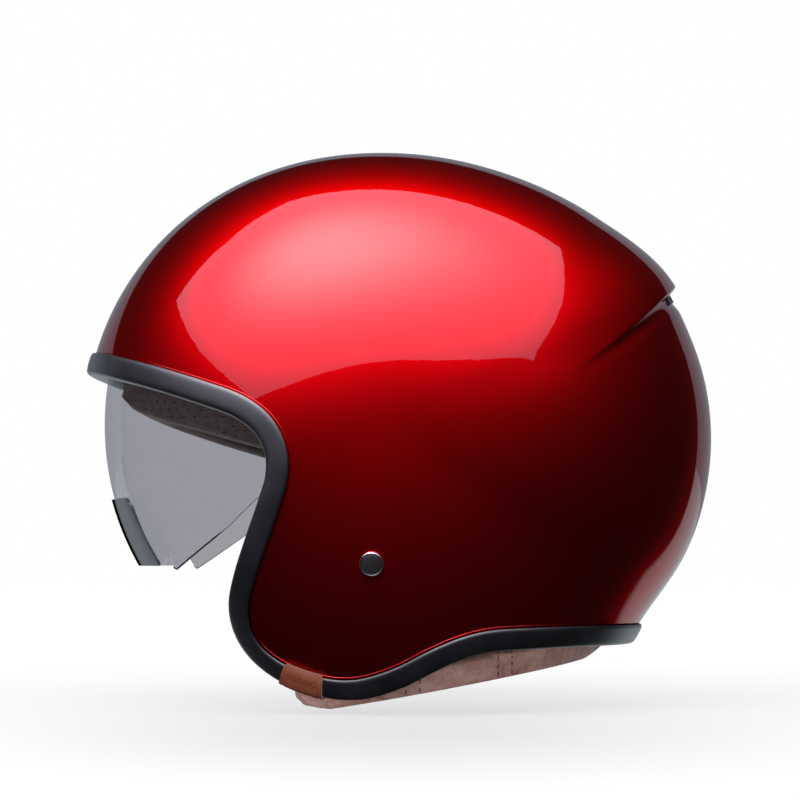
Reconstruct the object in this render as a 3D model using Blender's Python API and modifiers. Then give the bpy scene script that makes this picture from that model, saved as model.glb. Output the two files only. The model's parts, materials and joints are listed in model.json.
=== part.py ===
"""Open-face motorcycle helmet with a drop-down visor, modelled at real size.

Frame: metres, +Z up as worn, -X forward (the face opening), -Y the wearer's left.
The origin is the bottom centre of the helmet's bounding box.

Every shell, foam layer and pad is a slice between two "skins". A skin is the helmet's outer
form moved inwards by a given inset. Its side profile is a smooth closed spline about the
lateral axis, and every section across it is a superellipse whose flat spots are eased out.
"""

import bmesh
import bpy
import numpy as np
from math import atan2, cos, degrees, hypot, pi, radians, sin
from mathutils import Matrix, Vector

MM = 0.001

# ---------------------------------------------------------------- driving dimensions
HALF_WIDTH = 118.0 * MM
CENTRE_X = -6.0 * MM
CENTRE_Z = 124.0 * MM
ROUNDNESS = 2.25
EASE = 0.25
# Outer form in side view: (degrees from the rear, turning up; distance from the centre in mm).
PROFILE = (
    (0, 148.3), (12, 146.7), (20, 145.0), (27, 144.0), (34, 141.8), (43, 138.2), (54, 133.6),
    (68, 129.4), (80, 127.8), (91, 127.6), (106, 129.2), (121, 131.9), (136, 134.6),
    (150, 136.5), (164, 137.7), (180, 137.5), (200, 135.5), (218, 136.0), (235, 142.0),
    (252, 156.0), (270, 170.0), (290, 168.0), (308, 154.0), (324, 144.6), (335, 146.8),
    (347, 148.4),
)
# Middle of the edge trim in side view, brow to nape, in mm.
EDGE = (
    (-143, 154.6), (-122, 148.0), (-104, 142.4), (-84, 135.6), (-68, 129.4), (-57.5, 121.5),
    (-52, 111), (-51.5, 100), (-55, 88), (-60.5, 73), (-66, 57), (-68.5, 45), (-66.5, 34),
    (-60, 24.5), (-49, 16.8), (-35, 11.8), (-23, 10.2), (-12, 11.6), (1, 16.2), (14, 22.9),
    (26, 28), (38, 30.9), (55, 31.8), (80, 32.3), (112, 32.0),
)
EDGE_STATIONS = 42
FAR = 175.0 * MM

SHELL_WALL = 3.4 * MM
SHELL_EDGE = 6.0 * MM
FOAM_MARGIN = -6.0 * MM
FOAM_INSET = 5.2 * MM
VISOR_BAY_INSET = 13.5 * MM
FOAM_INNER = 34.0 * MM
LINER_OUTER = 34.6 * MM
LINER_INNER = 42.0 * MM
CHEEK_FOAM = (8.6 * MM, 19.8 * MM)
CHEEK_PAD_OUTER = 24.0 * MM
BROW_OUTER = 14.0 * MM

# The helmet rests on a plane that rises to the rear.
REST_X = -34.0 * MM
REST_SLOPE = 0.185
ROLL_HEIGHT = 12.5 * MM
ROLL_INSET = 9.0 * MM
NECK_X, NECK_HALF_LENGTH, NECK_HALF_WIDTH = 2.0 * MM, 82.0 * MM, 69.0 * MM
FACE_HALF_LENGTH, FACE_HALF_WIDTH = 92.0 * MM, 68.0 * MM

KICK_ANGLE, KICK_DROP, KICK_SPREAD, KICK_POWER = 26.2, 9.7, 54.5, 2.3
KICK_HEIGHT, NOTCH_DEPTH = 3.8 * MM, 1.5 * MM

VISOR_CENTRE = (-6.4 * MM, 127.1 * MM)
VISOR_RADIUS = 128.8 * MM
VISOR_HALF_WIDTH = 109.0 * MM
VISOR_WALL = 2.0 * MM
PIVOT_X, PIVOT_Z = -12.7 * MM, 124.1 * MM
VISOR_BOSS = 11.0 * MM
VISOR_TRAVEL = 36
LIP_HALF_WIDTH, LIP_HEIGHT = 51.0 * MM, 1.35 * MM

RIVET_X, RIVET_Z = -11.8 * MM, 63.5 * MM
WEBBING_WIDTH, WEBBING = 22.0 * MM, 1.8 * MM
STRAP_PIVOT_Y = 63.0 * MM
STRAP_Y = 61.0 * MM
STRAP_INSET, STRAP_STEP_IN, STRAP_BEND = 6.7 * MM, 2.6 * MM, 5.0 * MM
COVER_WIDTH, COVER_DEPTH = 28.0 * MM, 7.6 * MM
RING_WIRE = 1.5 * MM
RING_BAR_GAP = 4.0 * MM
RING_RISE = 88.0 * MM
GAP = 0.35 * MM


# ---------------------------------------------------------------- the helmet's form
def periodic_spline(knots):
    """A smooth function of an angle in degrees through (degrees, value) knots."""
    angles = np.array([knot[0] for knot in knots], float)
    values = np.array([knot[1] for knot in knots], float)
    gaps = np.diff(np.append(angles, angles[0] + 360.0))
    count = len(knots)
    system = np.zeros((count, count))
    right = np.zeros(count)
    for i in range(count):
        last, following = (i - 1) % count, (i + 1) % count
        system[i, last] += gaps[last]
        system[i, i] += 2 * (gaps[last] + gaps[i])
        system[i, following] += gaps[i]
        rise = (values[following] - values[i]) / gaps[i]
        right[i] = 6 * (rise - (values[i] - values[last]) / gaps[last])
    bends = np.linalg.solve(system, right)

    def value(angle):
        angle %= 360.0
        i = int(np.searchsorted(angles, angle, side="right")) - 1
        following = (i + 1) % count
        gap, done = gaps[i], angle - angles[i]
        left = gap - done
        curve = (bends[i] * left**3 + bends[following] * done**3) / (6 * gap)
        slope_a = values[i] / gap - bends[i] * gap / 6
        slope_b = values[following] / gap - bends[following] * gap / 6
        return curve + slope_a * left + slope_b * done

    return value


profile_mm = periodic_spline(PROFILE)


def ramp(value, low, high):
    """0 below low, 1 above high, smooth between."""
    share = min(1.0, max(0.0, (value - low) / (high - low)))
    return share * share * (3 - 2 * share)


def crease_angle(latitude):
    """Where the rear kick's crease runs, for a latitude in degrees away from the centre plane."""
    return KICK_ANGLE - KICK_DROP * (abs(latitude) / KICK_SPREAD) ** KICK_POWER


def kick(angle, latitude):
    """Height of the rear kick above the plain form: a notch under a raised lip."""
    fade = 1 - ramp(abs(latitude), 24, 60)
    above = angle - crease_angle(latitude)
    if above < 0:
        return -NOTCH_DEPTH * fade * ramp(above, -4.5, -1.6) * (1 - ramp(above, -1.6, 0))
    return KICK_HEIGHT * fade * ramp(above, -1.0, 0.4) * (1 - ramp(above, 1, 20))


def part_of(share):
    """What a share of the half length, or of the half width, adds to the form's sum of 1."""
    whole = (1 + EASE**2) ** (ROUNDNESS / 2) - EASE**ROUNDNESS
    return ((share**2 + EASE**2) ** (ROUNDNESS / 2) - EASE**ROUNDNESS) / whole


def share_of(part):
    """The inverse of part_of."""
    whole = (1 + EASE**2) ** (ROUNDNESS / 2) - EASE**ROUNDNESS
    squared = (part * whole + EASE**ROUNDNESS) ** (2 / ROUNDNESS) - EASE**2
    return max(0.0, squared) ** 0.5


def skin_point(angle, latitude, inset=0.0, bump=0.0):
    """A point of a skin. Latitude is -90 at the left pole, 0 at the centre plane, 90 at the right."""
    along = abs(cos(radians(latitude))) ** (2 / ROUNDNESS)
    across = share_of(1 - part_of(along))
    radius = (profile_mm(angle) * MM - inset + bump) * along
    y = (HALF_WIDTH - inset) * across * (1 if latitude > 0 else -1)
    turn = radians(angle)
    return Vector((CENTRE_X + radius * cos(turn), y, CENTRE_Z + radius * sin(turn)))


def half_width_at(x, z, inset=0.0):
    """Half the width of a skin at a place in side view, or None outside its outline."""
    angle = degrees(atan2(z - CENTRE_Z, x - CENTRE_X))
    share = hypot(x - CENTRE_X, z - CENTRE_Z) / (profile_mm(angle) * MM - inset)
    if share > 1:
        return None
    return (HALF_WIDTH - inset) * share_of(1 - part_of(share))


def outward(point):
    """The outer form's unit normal at a point on it."""
    step = 0.05 * MM

    def level(p):
        angle = degrees(atan2(p.z - CENTRE_Z, p.x - CENTRE_X))
        share = hypot(p.x - CENTRE_X, p.z - CENTRE_Z) / (profile_mm(angle) * MM)
        return part_of(share) + part_of(abs(p.y) / HALF_WIDTH)

    gradient = [level(point + axis * step) - level(point - axis * step) for axis in AXES]
    return Vector(gradient).normalized()


AXES = (Vector((1, 0, 0)), Vector((0, 1, 0)), Vector((0, 0, 1)))


def rest_z(x):
    """Height of the plane that the helmet rests on."""
    return (x - REST_X) * REST_SLOPE


# ---------------------------------------------------------------- scene, materials, meshes
def collection(name):
    made = bpy.data.collections.new(name)
    bpy.context.scene.collection.children.link(made)
    return made


def material(name, colour, roughness, metallic=0.0, transmission=0.0):
    made = bpy.data.materials.new(name)
    made.use_nodes = True
    shader = made.node_tree.nodes["Principled BSDF"]
    shader.inputs["Base Color"].default_value = (*colour, 1.0)
    shader.inputs["Roughness"].default_value = roughness
    shader.inputs["Metallic"].default_value = metallic
    shader.inputs["Transmission Weight"].default_value = transmission
    return made


def finish(name, mesh, look=None, helper=False):
    """Links a mesh as a named part, or as a cutter."""
    made = bpy.data.objects.new(name, mesh)
    (cutters if helper else helmet).objects.link(made)
    if helper:
        made.hide_render = True
        made.display_type = "WIRE"
    else:
        mesh.materials.append(look)
        mesh.shade_smooth()
        mesh.set_sharp_from_angle(angle=radians(35))
    return made


def mesh_of(bm, name):
    bmesh.ops.recalc_face_normals(bm, faces=bm.faces)
    if bm.calc_volume(signed=True) < 0:
        bmesh.ops.reverse_faces(bm, faces=bm.faces)
    mesh = bpy.data.meshes.new(name)
    bm.to_mesh(mesh)
    bm.free()
    return mesh


def loft(name, rings, closed=False):
    """A mesh skinned over equal rings of points. It closes on itself, or its ends are capped."""
    bm = bmesh.new()
    rows = [[bm.verts.new(point) for point in ring] for ring in rings]
    spans = len(rows) if closed else len(rows) - 1
    for i in range(spans):
        row, following = rows[i], rows[(i + 1) % len(rows)]
        for j in range(len(row)):
            k = (j + 1) % len(row)
            bm.faces.new((row[j], row[k], following[k], following[j]))
    if not closed:
        bm.faces.new(rows[0])
        bm.faces.new(rows[-1])
    return mesh_of(bm, name)


def flat_outline(name, outlines, low, high, axis="Y"):
    """A 2D curve outline, given in side view (axis Y) or front view (axis X), extruded low to high."""
    curve = bpy.data.curves.new(name, "CURVE")
    curve.dimensions = "2D"
    curve.fill_mode = "BOTH"
    curve.extrude = (high - low) / 2
    for outline in outlines:
        spline = curve.splines.new("POLY")
        spline.points.add(len(outline) - 1)
        spline.use_cyclic_u = True
        for place, (u, v) in zip(spline.points, outline):
            place.co = (u, v, 0, 1)
    holder = bpy.data.objects.new(name, curve)
    bpy.context.scene.collection.objects.link(holder)
    if axis == "Y":
        turn = Matrix(((1, 0, 0), (0, 0, -1), (0, 1, 0)))
        middle = Vector((0, (low + high) / 2, 0))
    else:
        turn = Matrix(((0, 0, 1), (1, 0, 0), (0, 1, 0)))
        middle = Vector(((low + high) / 2, 0, 0))
    bpy.context.view_layer.update()
    graph = bpy.context.evaluated_depsgraph_get()
    mesh = bpy.data.meshes.new_from_object(holder.evaluated_get(graph))
    bpy.data.objects.remove(holder)
    mesh.transform(Matrix.Translation(middle) @ turn.to_4x4())
    bm = bmesh.new()
    bm.from_mesh(mesh)
    bmesh.ops.remove_doubles(bm, verts=bm.verts, dist=0.01 * MM)
    return mesh_of(bm, name)


def boolean(part, cutter, operation="DIFFERENCE"):
    step = part.modifiers.new(f"{operation.lower()}_{cutter.name}", "BOOLEAN")
    step.object = cutter
    step.operation = operation
    step.solver = "EXACT"


def turned(name, profile, place, direction, look, steps=20):
    """A turned piece. Its profile of (radius, height) runs from its top down its outer side.

    A profile that starts on the axis ends there too. Any other profile is a closed ring.
    """
    mesh = bpy.data.meshes.new(name)
    points = [(radius, 0, height) for radius, height in profile]
    edges = [(i, i + 1) for i in range(len(points) - 1)]
    if points[0][0] > 0:
        edges.append((len(points) - 1, 0))
    mesh.from_pydata(points, edges, [])
    made = bpy.data.objects.new(name, mesh)
    helmet.objects.link(made)
    mesh.materials.append(look)
    screw = made.modifiers.new("turn", "SCREW")
    screw.steps = screw.render_steps = steps
    screw.use_merge_vertices = True
    screw.merge_threshold = 0.05 * MM
    screw.use_smooth_shade = True
    made.location = place
    made.rotation_mode = "QUATERNION"
    made.rotation_quaternion = direction.to_track_quat("Z", "X")
    return made


def cylinder_cutter(name, place, direction, radius, length, segments=24):
    bm = bmesh.new()
    bmesh.ops.create_cone(
        bm, cap_ends=True, segments=segments, radius1=radius, radius2=radius, depth=length
    )
    turn = direction.to_track_quat("Z", "X").to_matrix().to_4x4()
    bm.transform(Matrix.Translation(place) @ turn)
    return finish(name, mesh_of(bm, name), helper=True)


# ---------------------------------------------------------------- edge line of the shell
def smooth_line(points, steps):
    """A Catmull-Rom line through points, in metres."""
    knots = [Vector((x * MM, z * MM)) for x, z in points]
    knots = [2 * knots[0] - knots[1], *knots, 2 * knots[-1] - knots[-2]]
    line = []
    for a, b, c, d in zip(knots, knots[1:], knots[2:], knots[3:]):
        for i in range(steps):
            t = i / steps
            rise = (c - a) * t + (2 * a - 5 * b + 4 * c - d) * t * t
            line.append(b + (rise + (3 * b - a - 3 * c + d) * t**3) / 2)
    return line


def edge_loop():
    """Equally spaced points of the trim's middle on the outer form, once round the helmet."""
    dense = []
    for place in smooth_line(EDGE, 120):
        width = half_width_at(place.x, place.y)
        if width is not None:
            dense.append(Vector((place.x, -width, place.y)))
    dense[0].y = dense[-1].y = 0.0
    travel = [0.0]
    for a, b in zip(dense, dense[1:]):
        travel.append(travel[-1] + (b - a).length)
    left = []
    for i in range(EDGE_STATIONS + 1):
        target = travel[-1] * i / EDGE_STATIONS
        k = min(int(np.searchsorted(travel, target)), len(dense) - 1)
        k = max(k, 1)
        share = (target - travel[k - 1]) / (travel[k] - travel[k - 1])
        left.append(dense[k - 1].lerp(dense[k], share))
    right = [Vector((p.x, -p.y, p.z)) for p in reversed(left[1:-1])]
    return left + right


def edge_frames():
    """(point, direction to the free side, outward normal) for every station of the edge."""
    loop = edge_loop()
    frames = []
    for i, point in enumerate(loop):
        tangent = (loop[(i + 1) % len(loop)] - loop[i - 1]).normalized()
        normal = outward(point)
        free = tangent.cross(normal).normalized()
        frames.append((point, free, normal))
    return frames


def opening_outline(margin):
    """Side-view outline of all that lies past the edge line moved by margin to its free side."""
    half = [point + free * margin for point, free, _ in EDGE_FRAMES[: EDGE_STATIONS + 1]]
    line = [(p.x, p.z) for p in half]
    slope = (line[2][1] - line[0][1]) / (line[2][0] - line[0][0])
    front = (-FAR, line[0][1] + slope * (-FAR - line[0][0]))
    return [front, *line, (FAR, line[-1][1]), (FAR, -FAR), (-FAR, -FAR)]


# ---------------------------------------------------------------- skins and layers
def ball(name, inset, steps=(32, 16), kicked=False):
    """A closed skin. Inset is a length, or a function of angle and latitude."""
    rings = []
    latitudes = np.linspace(-87, 87, steps[1] + 1)
    angles = [360 * i / steps[0] for i in range(steps[0])]
    if kicked:
        angles = [a for a in angles if not 14 < a < 46] + [18, 21.5, 24, 26, 26.8, 29, 33, 39]
        angles.sort()
    for latitude in latitudes:
        ring = []
        for angle in angles:
            bump = 0.0
            if kicked:
                shift = crease_angle(min(abs(latitude), 60)) - KICK_ANGLE
                angle += shift * ramp(angle, 8, 20) * (1 - ramp(angle, 30, 48))
                bump = kick(angle, latitude)
            depth = inset(angle, latitude) if callable(inset) else inset
            ring.append(skin_point(angle, latitude, depth, bump))
        rings.append(ring)
    return finish(name, loft(name, rings), helper=True)


def as_part(cutter_mesh, name, look):
    return finish(name, cutter_mesh.data.copy(), look)


def foam_inset(angle, latitude):
    """The foam stands back over the visor's bay: the brow, the temples and round the pivots."""
    bay = ramp(angle, 100, 116) * (1 - ramp(angle, 252, 262))
    pole = ramp(abs(latitude), 72, 80)
    return FOAM_INSET + (VISOR_BAY_INSET - FOAM_INSET) * max(bay, pole)


TRIM_SECTION = (
    (-5.2, 1.0), (-2.8, 2.1), (2.6, 2.1), (5.2, -0.6), (4.4, -4.8), (1.8, -6.3), (-4.6, -6.3),
    (-4.6, -5.2), (1.8, -5.2), (1.8, 0.9),
)
# The strip that is cut off the shell along its edge, so that the trim's groove has room.
EDGE_BAND = ((0.6, 6.0), (11.0, 6.0), (11.0, -13.0), (0.6, -13.0))


def sweep(name, section, frames, look, closed, helper=False):
    """A section of (towards the free side, outwards) points carried along edge frames."""
    rings = []
    for point, free, normal in frames:
        rings.append([point + free * (b * MM) + normal * (n * MM) for b, n in section])
    return finish(name, loft(name, rings, closed), look, helper)


def region(name, points, low=-FAR, high=FAR):
    outline = [(x * MM, z * MM) for x, z in points]
    return finish(name, flat_outline(name, [outline], low, high), helper=True)


def layer(name, outer, inner, look, outside=None, inside=None):
    """The material between two skins, kept inside some regions and cut by others."""
    part = as_part(outer, name, look)
    for keep in inside or ():
        boolean(part, keep, "INTERSECT")
    for cutter in (inner, *(outside or ())):
        boolean(part, cutter)
    return part


for old in list(bpy.data.objects):
    bpy.data.objects.remove(old)
helmet = collection("open_face_helmet")
cutters = collection("cutters")

RED = material("candy_red_paint", (0.45, 0.004, 0.010), 0.12, 0.6)
RUBBER = material("black_rubber", (0.02, 0.02, 0.022), 0.55)
FOAM = material("eps_foam", (0.05, 0.05, 0.055), 0.9)
SUEDE = material("perforated_suede", (0.065, 0.042, 0.036), 0.9)
LEATHERETTE = material("brown_leatherette", (0.17, 0.065, 0.045), 0.6)
TAN_LEATHER = material("tan_leather", (0.28, 0.075, 0.030), 0.55)
CLEAR = material("clear_polycarbonate", (0.75, 0.77, 0.80), 0.05, 0.0, 0.9)
SMOKE = material("smoked_polycarbonate", (0.10, 0.11, 0.13), 0.08, 0.0, 0.6)
PLASTIC = material("black_plastic", (0.015, 0.015, 0.016), 0.45)
CHROME = material("chrome", (0.80, 0.80, 0.80), 0.08, 1.0)
STEEL = material("zinc_steel", (0.55, 0.56, 0.58), 0.30, 1.0)
NYLON = material("white_nylon", (0.70, 0.70, 0.68), 0.5)
WEB = material("black_webbing", (0.018, 0.018, 0.020), 0.85)

EDGE_FRAMES = edge_frames()
SIDES = (("left", -1), ("right", 1))

# ---------------------------------------------------------------- shared cutters
outer_skin = ball("outer_skin", 0.0, (32, 20), kicked=True)
shell_inner = ball("shell_inner_skin", SHELL_WALL, (36, 18))
foam_outer = ball("foam_outer_skin", foam_inset, (30, 18))
foam_inner = ball("foam_inner_skin", FOAM_INNER, (22, 12))
liner_outer = ball("liner_outer_skin", LINER_OUTER, (22, 12))
liner_inner = ball("liner_inner_skin", LINER_INNER, (22, 12))
past_shell_edge = finish(
    "past_shell_edge", flat_outline("past_shell_edge", [opening_outline(SHELL_EDGE)], -FAR, FAR),
    helper=True,
)
edge_band = sweep("edge_band", EDGE_BAND, EDGE_FRAMES, None, closed=True, helper=True)
past_foam_edge = finish(
    "past_foam_edge", flat_outline("past_foam_edge", [opening_outline(FOAM_MARGIN)], -FAR, FAR),
    helper=True,
)
crown_region = region(
    "crown_region",
    ((-170, 91), (40, 91), (40, 38), (112, 46), (170, 46), (170, 270), (-170, 270)),
)


# ---------------------------------------------------------------- shell, trim, vent
def make_shell():
    """The painted ABS shell, with its rivet holes and the slot of the rear vent."""
    shell = as_part(outer_skin, "outer_shell", RED)
    boolean(shell, shell_inner)
    boolean(shell, past_shell_edge)
    boolean(shell, edge_band)
    for side, sign in SIDES:
        place, normal = rivet_seat(sign)
        boolean(shell, cylinder_cutter(f"rivet_hole_{side}", place, normal, 2.9 * MM, 20 * MM))
    slot = finish("vent_slot", loft("vent_slot", vent_rings(GAP, 8 * MM)), helper=True)
    boolean(shell, slot)


def rivet_seat(sign):
    """Where a chin strap rivet meets the outer form, and the normal there."""
    place = Vector((RIVET_X, sign * half_width_at(RIVET_X, RIVET_Z), RIVET_Z))
    return place, outward(place)


def vent_rings(clearance, depth):
    """Rings of a bar that lies along the notch under the rear kick."""
    rings = []
    reach = 17 + degrees(clearance / HALF_WIDTH)
    for latitude in np.linspace(-reach, reach, 13):
        middle = crease_angle(latitude) - 1.35
        half = 0.75 + degrees(clearance / HALF_WIDTH)
        ring = []
        for turn, height in ((-half, -depth), (half, -depth), (half, 0.0), (-half, 0.0)):
            lift = height - 0.4 * MM + clearance * (1 if height == 0.0 else 0)
            ring.append(skin_point(middle + turn, latitude, 0.0, lift))
        rings.append(ring)
    return rings


def make_vent():
    mesh = loft("rear_vent_grille", vent_rings(0.0, 4.0 * MM))
    grille = finish("rear_vent_grille", mesh, PLASTIC)
    slots = 9
    for i in range(slots):
        latitude = (i - (slots - 1) / 2) * 3.4
        place = skin_point(crease_angle(latitude) - 1.35, latitude)
        cutter = cylinder_cutter(f"vent_hole_{i}", place, outward(place), 1.1 * MM, 30 * MM, 8)
        boolean(grille, cutter)


TAB_SECTION = (
    (-6.8, 0.5), (-6.6, 1.6), (-3.0, 3.5), (3.0, 3.5), (6.5, -0.4), (5.4, -5.8), (2.0, -7.7),
    (-1.6, -7.7), (-1.6, -6.65), (1.9, -6.65), (4.8, -5.1), (5.55, -0.5), (2.8, 2.45),
    (-2.8, 2.45), (-5.6, 0.85),
)


def make_trim():
    sweep("edge_trim", TRIM_SECTION, EDGE_FRAMES, RUBBER, closed=True)


def make_leather_tab():
    """A leather strip folded over the trim at the left jaw."""
    half = EDGE_FRAMES[: EDGE_STATIONS + 1]
    near = min(range(len(half)), key=lambda i: abs(half[i][0].x + 42.5 * MM) + half[i][0].z)
    stations = []
    for step in (-1, 0, 1):
        stations.append(half[near + step])
    ends = []
    for share in np.linspace(-0.98, 0.98, 7):
        a, b = (stations[1], stations[0]) if share < 0 else (stations[1], stations[2])
        mixed = [p.lerp(q, abs(share)) for p, q in zip(a, b)]
        ends.append((mixed[0], mixed[1].normalized(), mixed[2].normalized()))
    sweep("leather_tab", TAB_SECTION, ends, TAN_LEATHER, closed=False)


# ---------------------------------------------------------------- foam and pads
def make_foam():
    liner = layer(
        "eps_liner", foam_outer, foam_inner, FOAM,
        outside=[past_foam_edge], inside=[crown_region],
    )
    for side, sign in SIDES:
        depth = 20 * MM
        place = Vector((PIVOT_X, sign * (BASE_BOTTOM - GAP + depth / 2), PIVOT_Z))
        boolean(liner, cylinder_cutter(f"base_pocket_{side}", place, AXES[1], 18.6 * MM, depth, 32))
    outer = ball("cheek_foam_outer_skin", CHEEK_FOAM[0], (30, 16))
    inner = ball("cheek_foam_inner_skin", CHEEK_FOAM[1], (24, 14))
    for side, sign in SIDES:
        block = region(f"cheek_region_{side}", CHEEK_REGION, *half_space(sign))
        layer(
            f"eps_cheek_{side}", outer, inner, FOAM,
            outside=[
                past_foam_edge, strap_tunnel(side, sign), strap_channel(side, sign),
                rivet_pocket(side, sign),
            ],
            inside=[block],
        )


def box_cutter(name, low, high):
    bm = bmesh.new()
    bmesh.ops.create_cube(bm, size=1)
    low, high = Vector(low), Vector(high)
    scale = Matrix.Diagonal((*(high - low), 1))
    bm.transform(Matrix.Translation((low + high) / 2) @ scale)
    return finish(name, mesh_of(bm, name), helper=True)


def strap_tunnel(side, sign):
    """Room for the chin strap between a cheek block and the neck roll."""
    near, far = sorted((sign * 50 * MM, sign * 118 * MM))
    low = (STRAP_X[0] - 1 * MM, near, 5 * MM)
    high = (STRAP_X[1] + 1 * MM, far, STRAP_EXIT_Z + 1.6 * MM)
    return box_cutter(f"strap_tunnel_{side}", low, high)


def strap_channel(side, sign):
    """Room for the webbing that runs down outside a cheek block."""
    near, far = sorted((sign * 84 * MM, sign * 118 * MM))
    low = (STRAP_X[0] - 1 * MM, near, 5 * MM)
    return box_cutter(f"strap_channel_{side}", low, (STRAP_X[1] + 1 * MM, far, 45 * MM))


def rivet_pocket(side, sign):
    """Room for the rivet's backing plate in the outside of a cheek block."""
    near, far = sorted((sign * (half_width_at(RIVET_X, RIVET_Z) - 13 * MM), sign * 118 * MM))
    low = (RIVET_X - 13 * MM, near, RIVET_Z - 12 * MM)
    high = (RIVET_X + 13 * MM, far, RIVET_Z + 14 * MM)
    return box_cutter(f"rivet_pocket_{side}", low, high)


# Space of a cheek block in side view, above the gap that the chin strap runs through.
CHEEK_REGION = ((-75, 89), (38.5, 89), (38.5, 27.3), (-52, 10.5), (-75, 10.5))
CHEEK_PAD_REGION = (
    (-52, 87.5), (38, 87.5), (38, 27.5), (-28, 15.2), (-46, 32), (-58, 60),
)


def half_space(sign):
    """Y range of one half of the helmet, clear of the centre plane."""
    near = 10 * MM
    return (near, FAR) if sign > 0 else (-FAR, -near)


def oval_cutter(name, middle_x, half_length, half_width):
    """An upright oval post the width of the wearer's face or neck."""
    bm = bmesh.new()
    bmesh.ops.create_cone(bm, cap_ends=True, segments=40, radius1=1, radius2=1, depth=1)
    scale = Matrix.Diagonal((half_length, half_width, 2 * FAR, 1))
    bm.transform(Matrix.Translation((middle_x, 0, 0)) @ scale)
    return finish(name, mesh_of(bm, name), helper=True)


def make_pads():
    layer(
        "crown_pad", liner_outer, liner_inner, SUEDE,
        outside=[past_foam_edge], inside=[crown_region],
    )
    face_post = oval_cutter("face_post", 0.0, FACE_HALF_LENGTH, FACE_HALF_WIDTH)
    pad_outer = ball("cheek_pad_outer_skin", CHEEK_PAD_OUTER, (24, 14))
    for side, sign in SIDES:
        space = region(f"cheek_pad_region_{side}", CHEEK_PAD_REGION, *half_space(sign))
        pad = as_part(pad_outer, f"cheek_pad_{side}", SUEDE)
        boolean(pad, space, "INTERSECT")
        boolean(pad, face_post)
        boolean(pad, past_foam_edge)
        boolean(pad, strap_tunnel(f"pad_{side}", sign))
    brow_outer = ball("brow_outer_skin", BROW_OUTER, (30, 18))
    under_brow = finish(
        "under_brow", flat_outline("under_brow", [opening_outline(-1.6 * MM)], -FAR, FAR),
        helper=True,
    )
    band = region(
        "brow_region",
        ((-160, 170), (-160, 147), (-130, 147), (-127, 139), (-119, 132.5), (-108, 128.2),
         (-85, 120.5), (-57, 111.5), (-49, 109), (-49, 170)),
    )
    layer("brow_pad", brow_outer, liner_inner, SUEDE, inside=[under_brow, band])
    make_neck_roll()


def make_neck_roll():
    """The padded collar under the foam. Its flat underside is what the helmet rests on."""
    top = ROLL_HEIGHT / MM
    outline = [(-48, 11.2), (-46.8, 6.5), (-43, 2.4), (-38, 0.4), (-34, 0.0)]
    outline += [(72, rest_z(72 * MM) / MM), (82, 23.4), (88, 27.2), (94, 31.4), (108, 35.0)]
    outline += [(108, rest_z(108 * MM) / MM + top), (-40, rest_z(-40 * MM) / MM + top)]
    roll = as_part(ball("roll_skin", ROLL_INSET, (32, 18)), "neck_roll", LEATHERETTE)
    boolean(roll, region("roll_region", outline), "INTERSECT")
    boolean(roll, oval_cutter("neck_post", NECK_X, NECK_HALF_LENGTH, NECK_HALF_WIDTH))
    front = region("roll_front", ((-49, -20), (-49, 60), (-160, 60), (-160, -20)))
    boolean(roll, front)


# ---------------------------------------------------------------- visor and its pivots
# Heights along the pivot axis, measured from the centre plane.
BASE_BOTTOM, BASE_TOP = 101.2 * MM, 104.4 * MM
WASHER_TOP = 105.9 * MM
BOSS_TOP = 109.9 * MM
SCREW_TOP = 112.2 * MM


def visor_skin(name, radius, half_width, steps):
    rings = []
    for latitude in np.linspace(-87, 87, steps[1] + 1):
        along = cos(radians(latitude)) ** (2 / ROUNDNESS)
        across = share_of(1 - part_of(along)) * (1 if latitude > 0 else -1)
        ring = []
        for i in range(steps[0]):
            turn = 2 * pi * i / steps[0]
            x = VISOR_CENTRE[0] + radius * along * cos(turn)
            z = VISOR_CENTRE[1] + radius * along * sin(turn)
            ring.append(Vector((x, half_width * across, z)))
        rings.append(ring)
    return finish(name, loft(name, rings), helper=True)


def visor_outline():
    """The visor in side view: arms to the round bosses, and the lower edge with its two lobes."""
    px, pz, boss = PIVOT_X / MM, PIVOT_Z / MM, VISOR_BOSS / MM
    outline = [(-150, 62), (-103.5, 62.6), (-101.5, 66.5), (-97.6, 60.6), (-73, 79.2)]
    outline += [(-61.3, 90.3), (-40, 102.5)]
    for step in range(13):
        turn = radians(-120 + 230 * step / 12)
        outline.append((px + boss * cos(turn), pz + boss * sin(turn)))
    top = 156.4
    outline += [(-46, 139), (-80, 149.5), (-110, 155), (-130, top), (-150, top)]
    return outline


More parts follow.
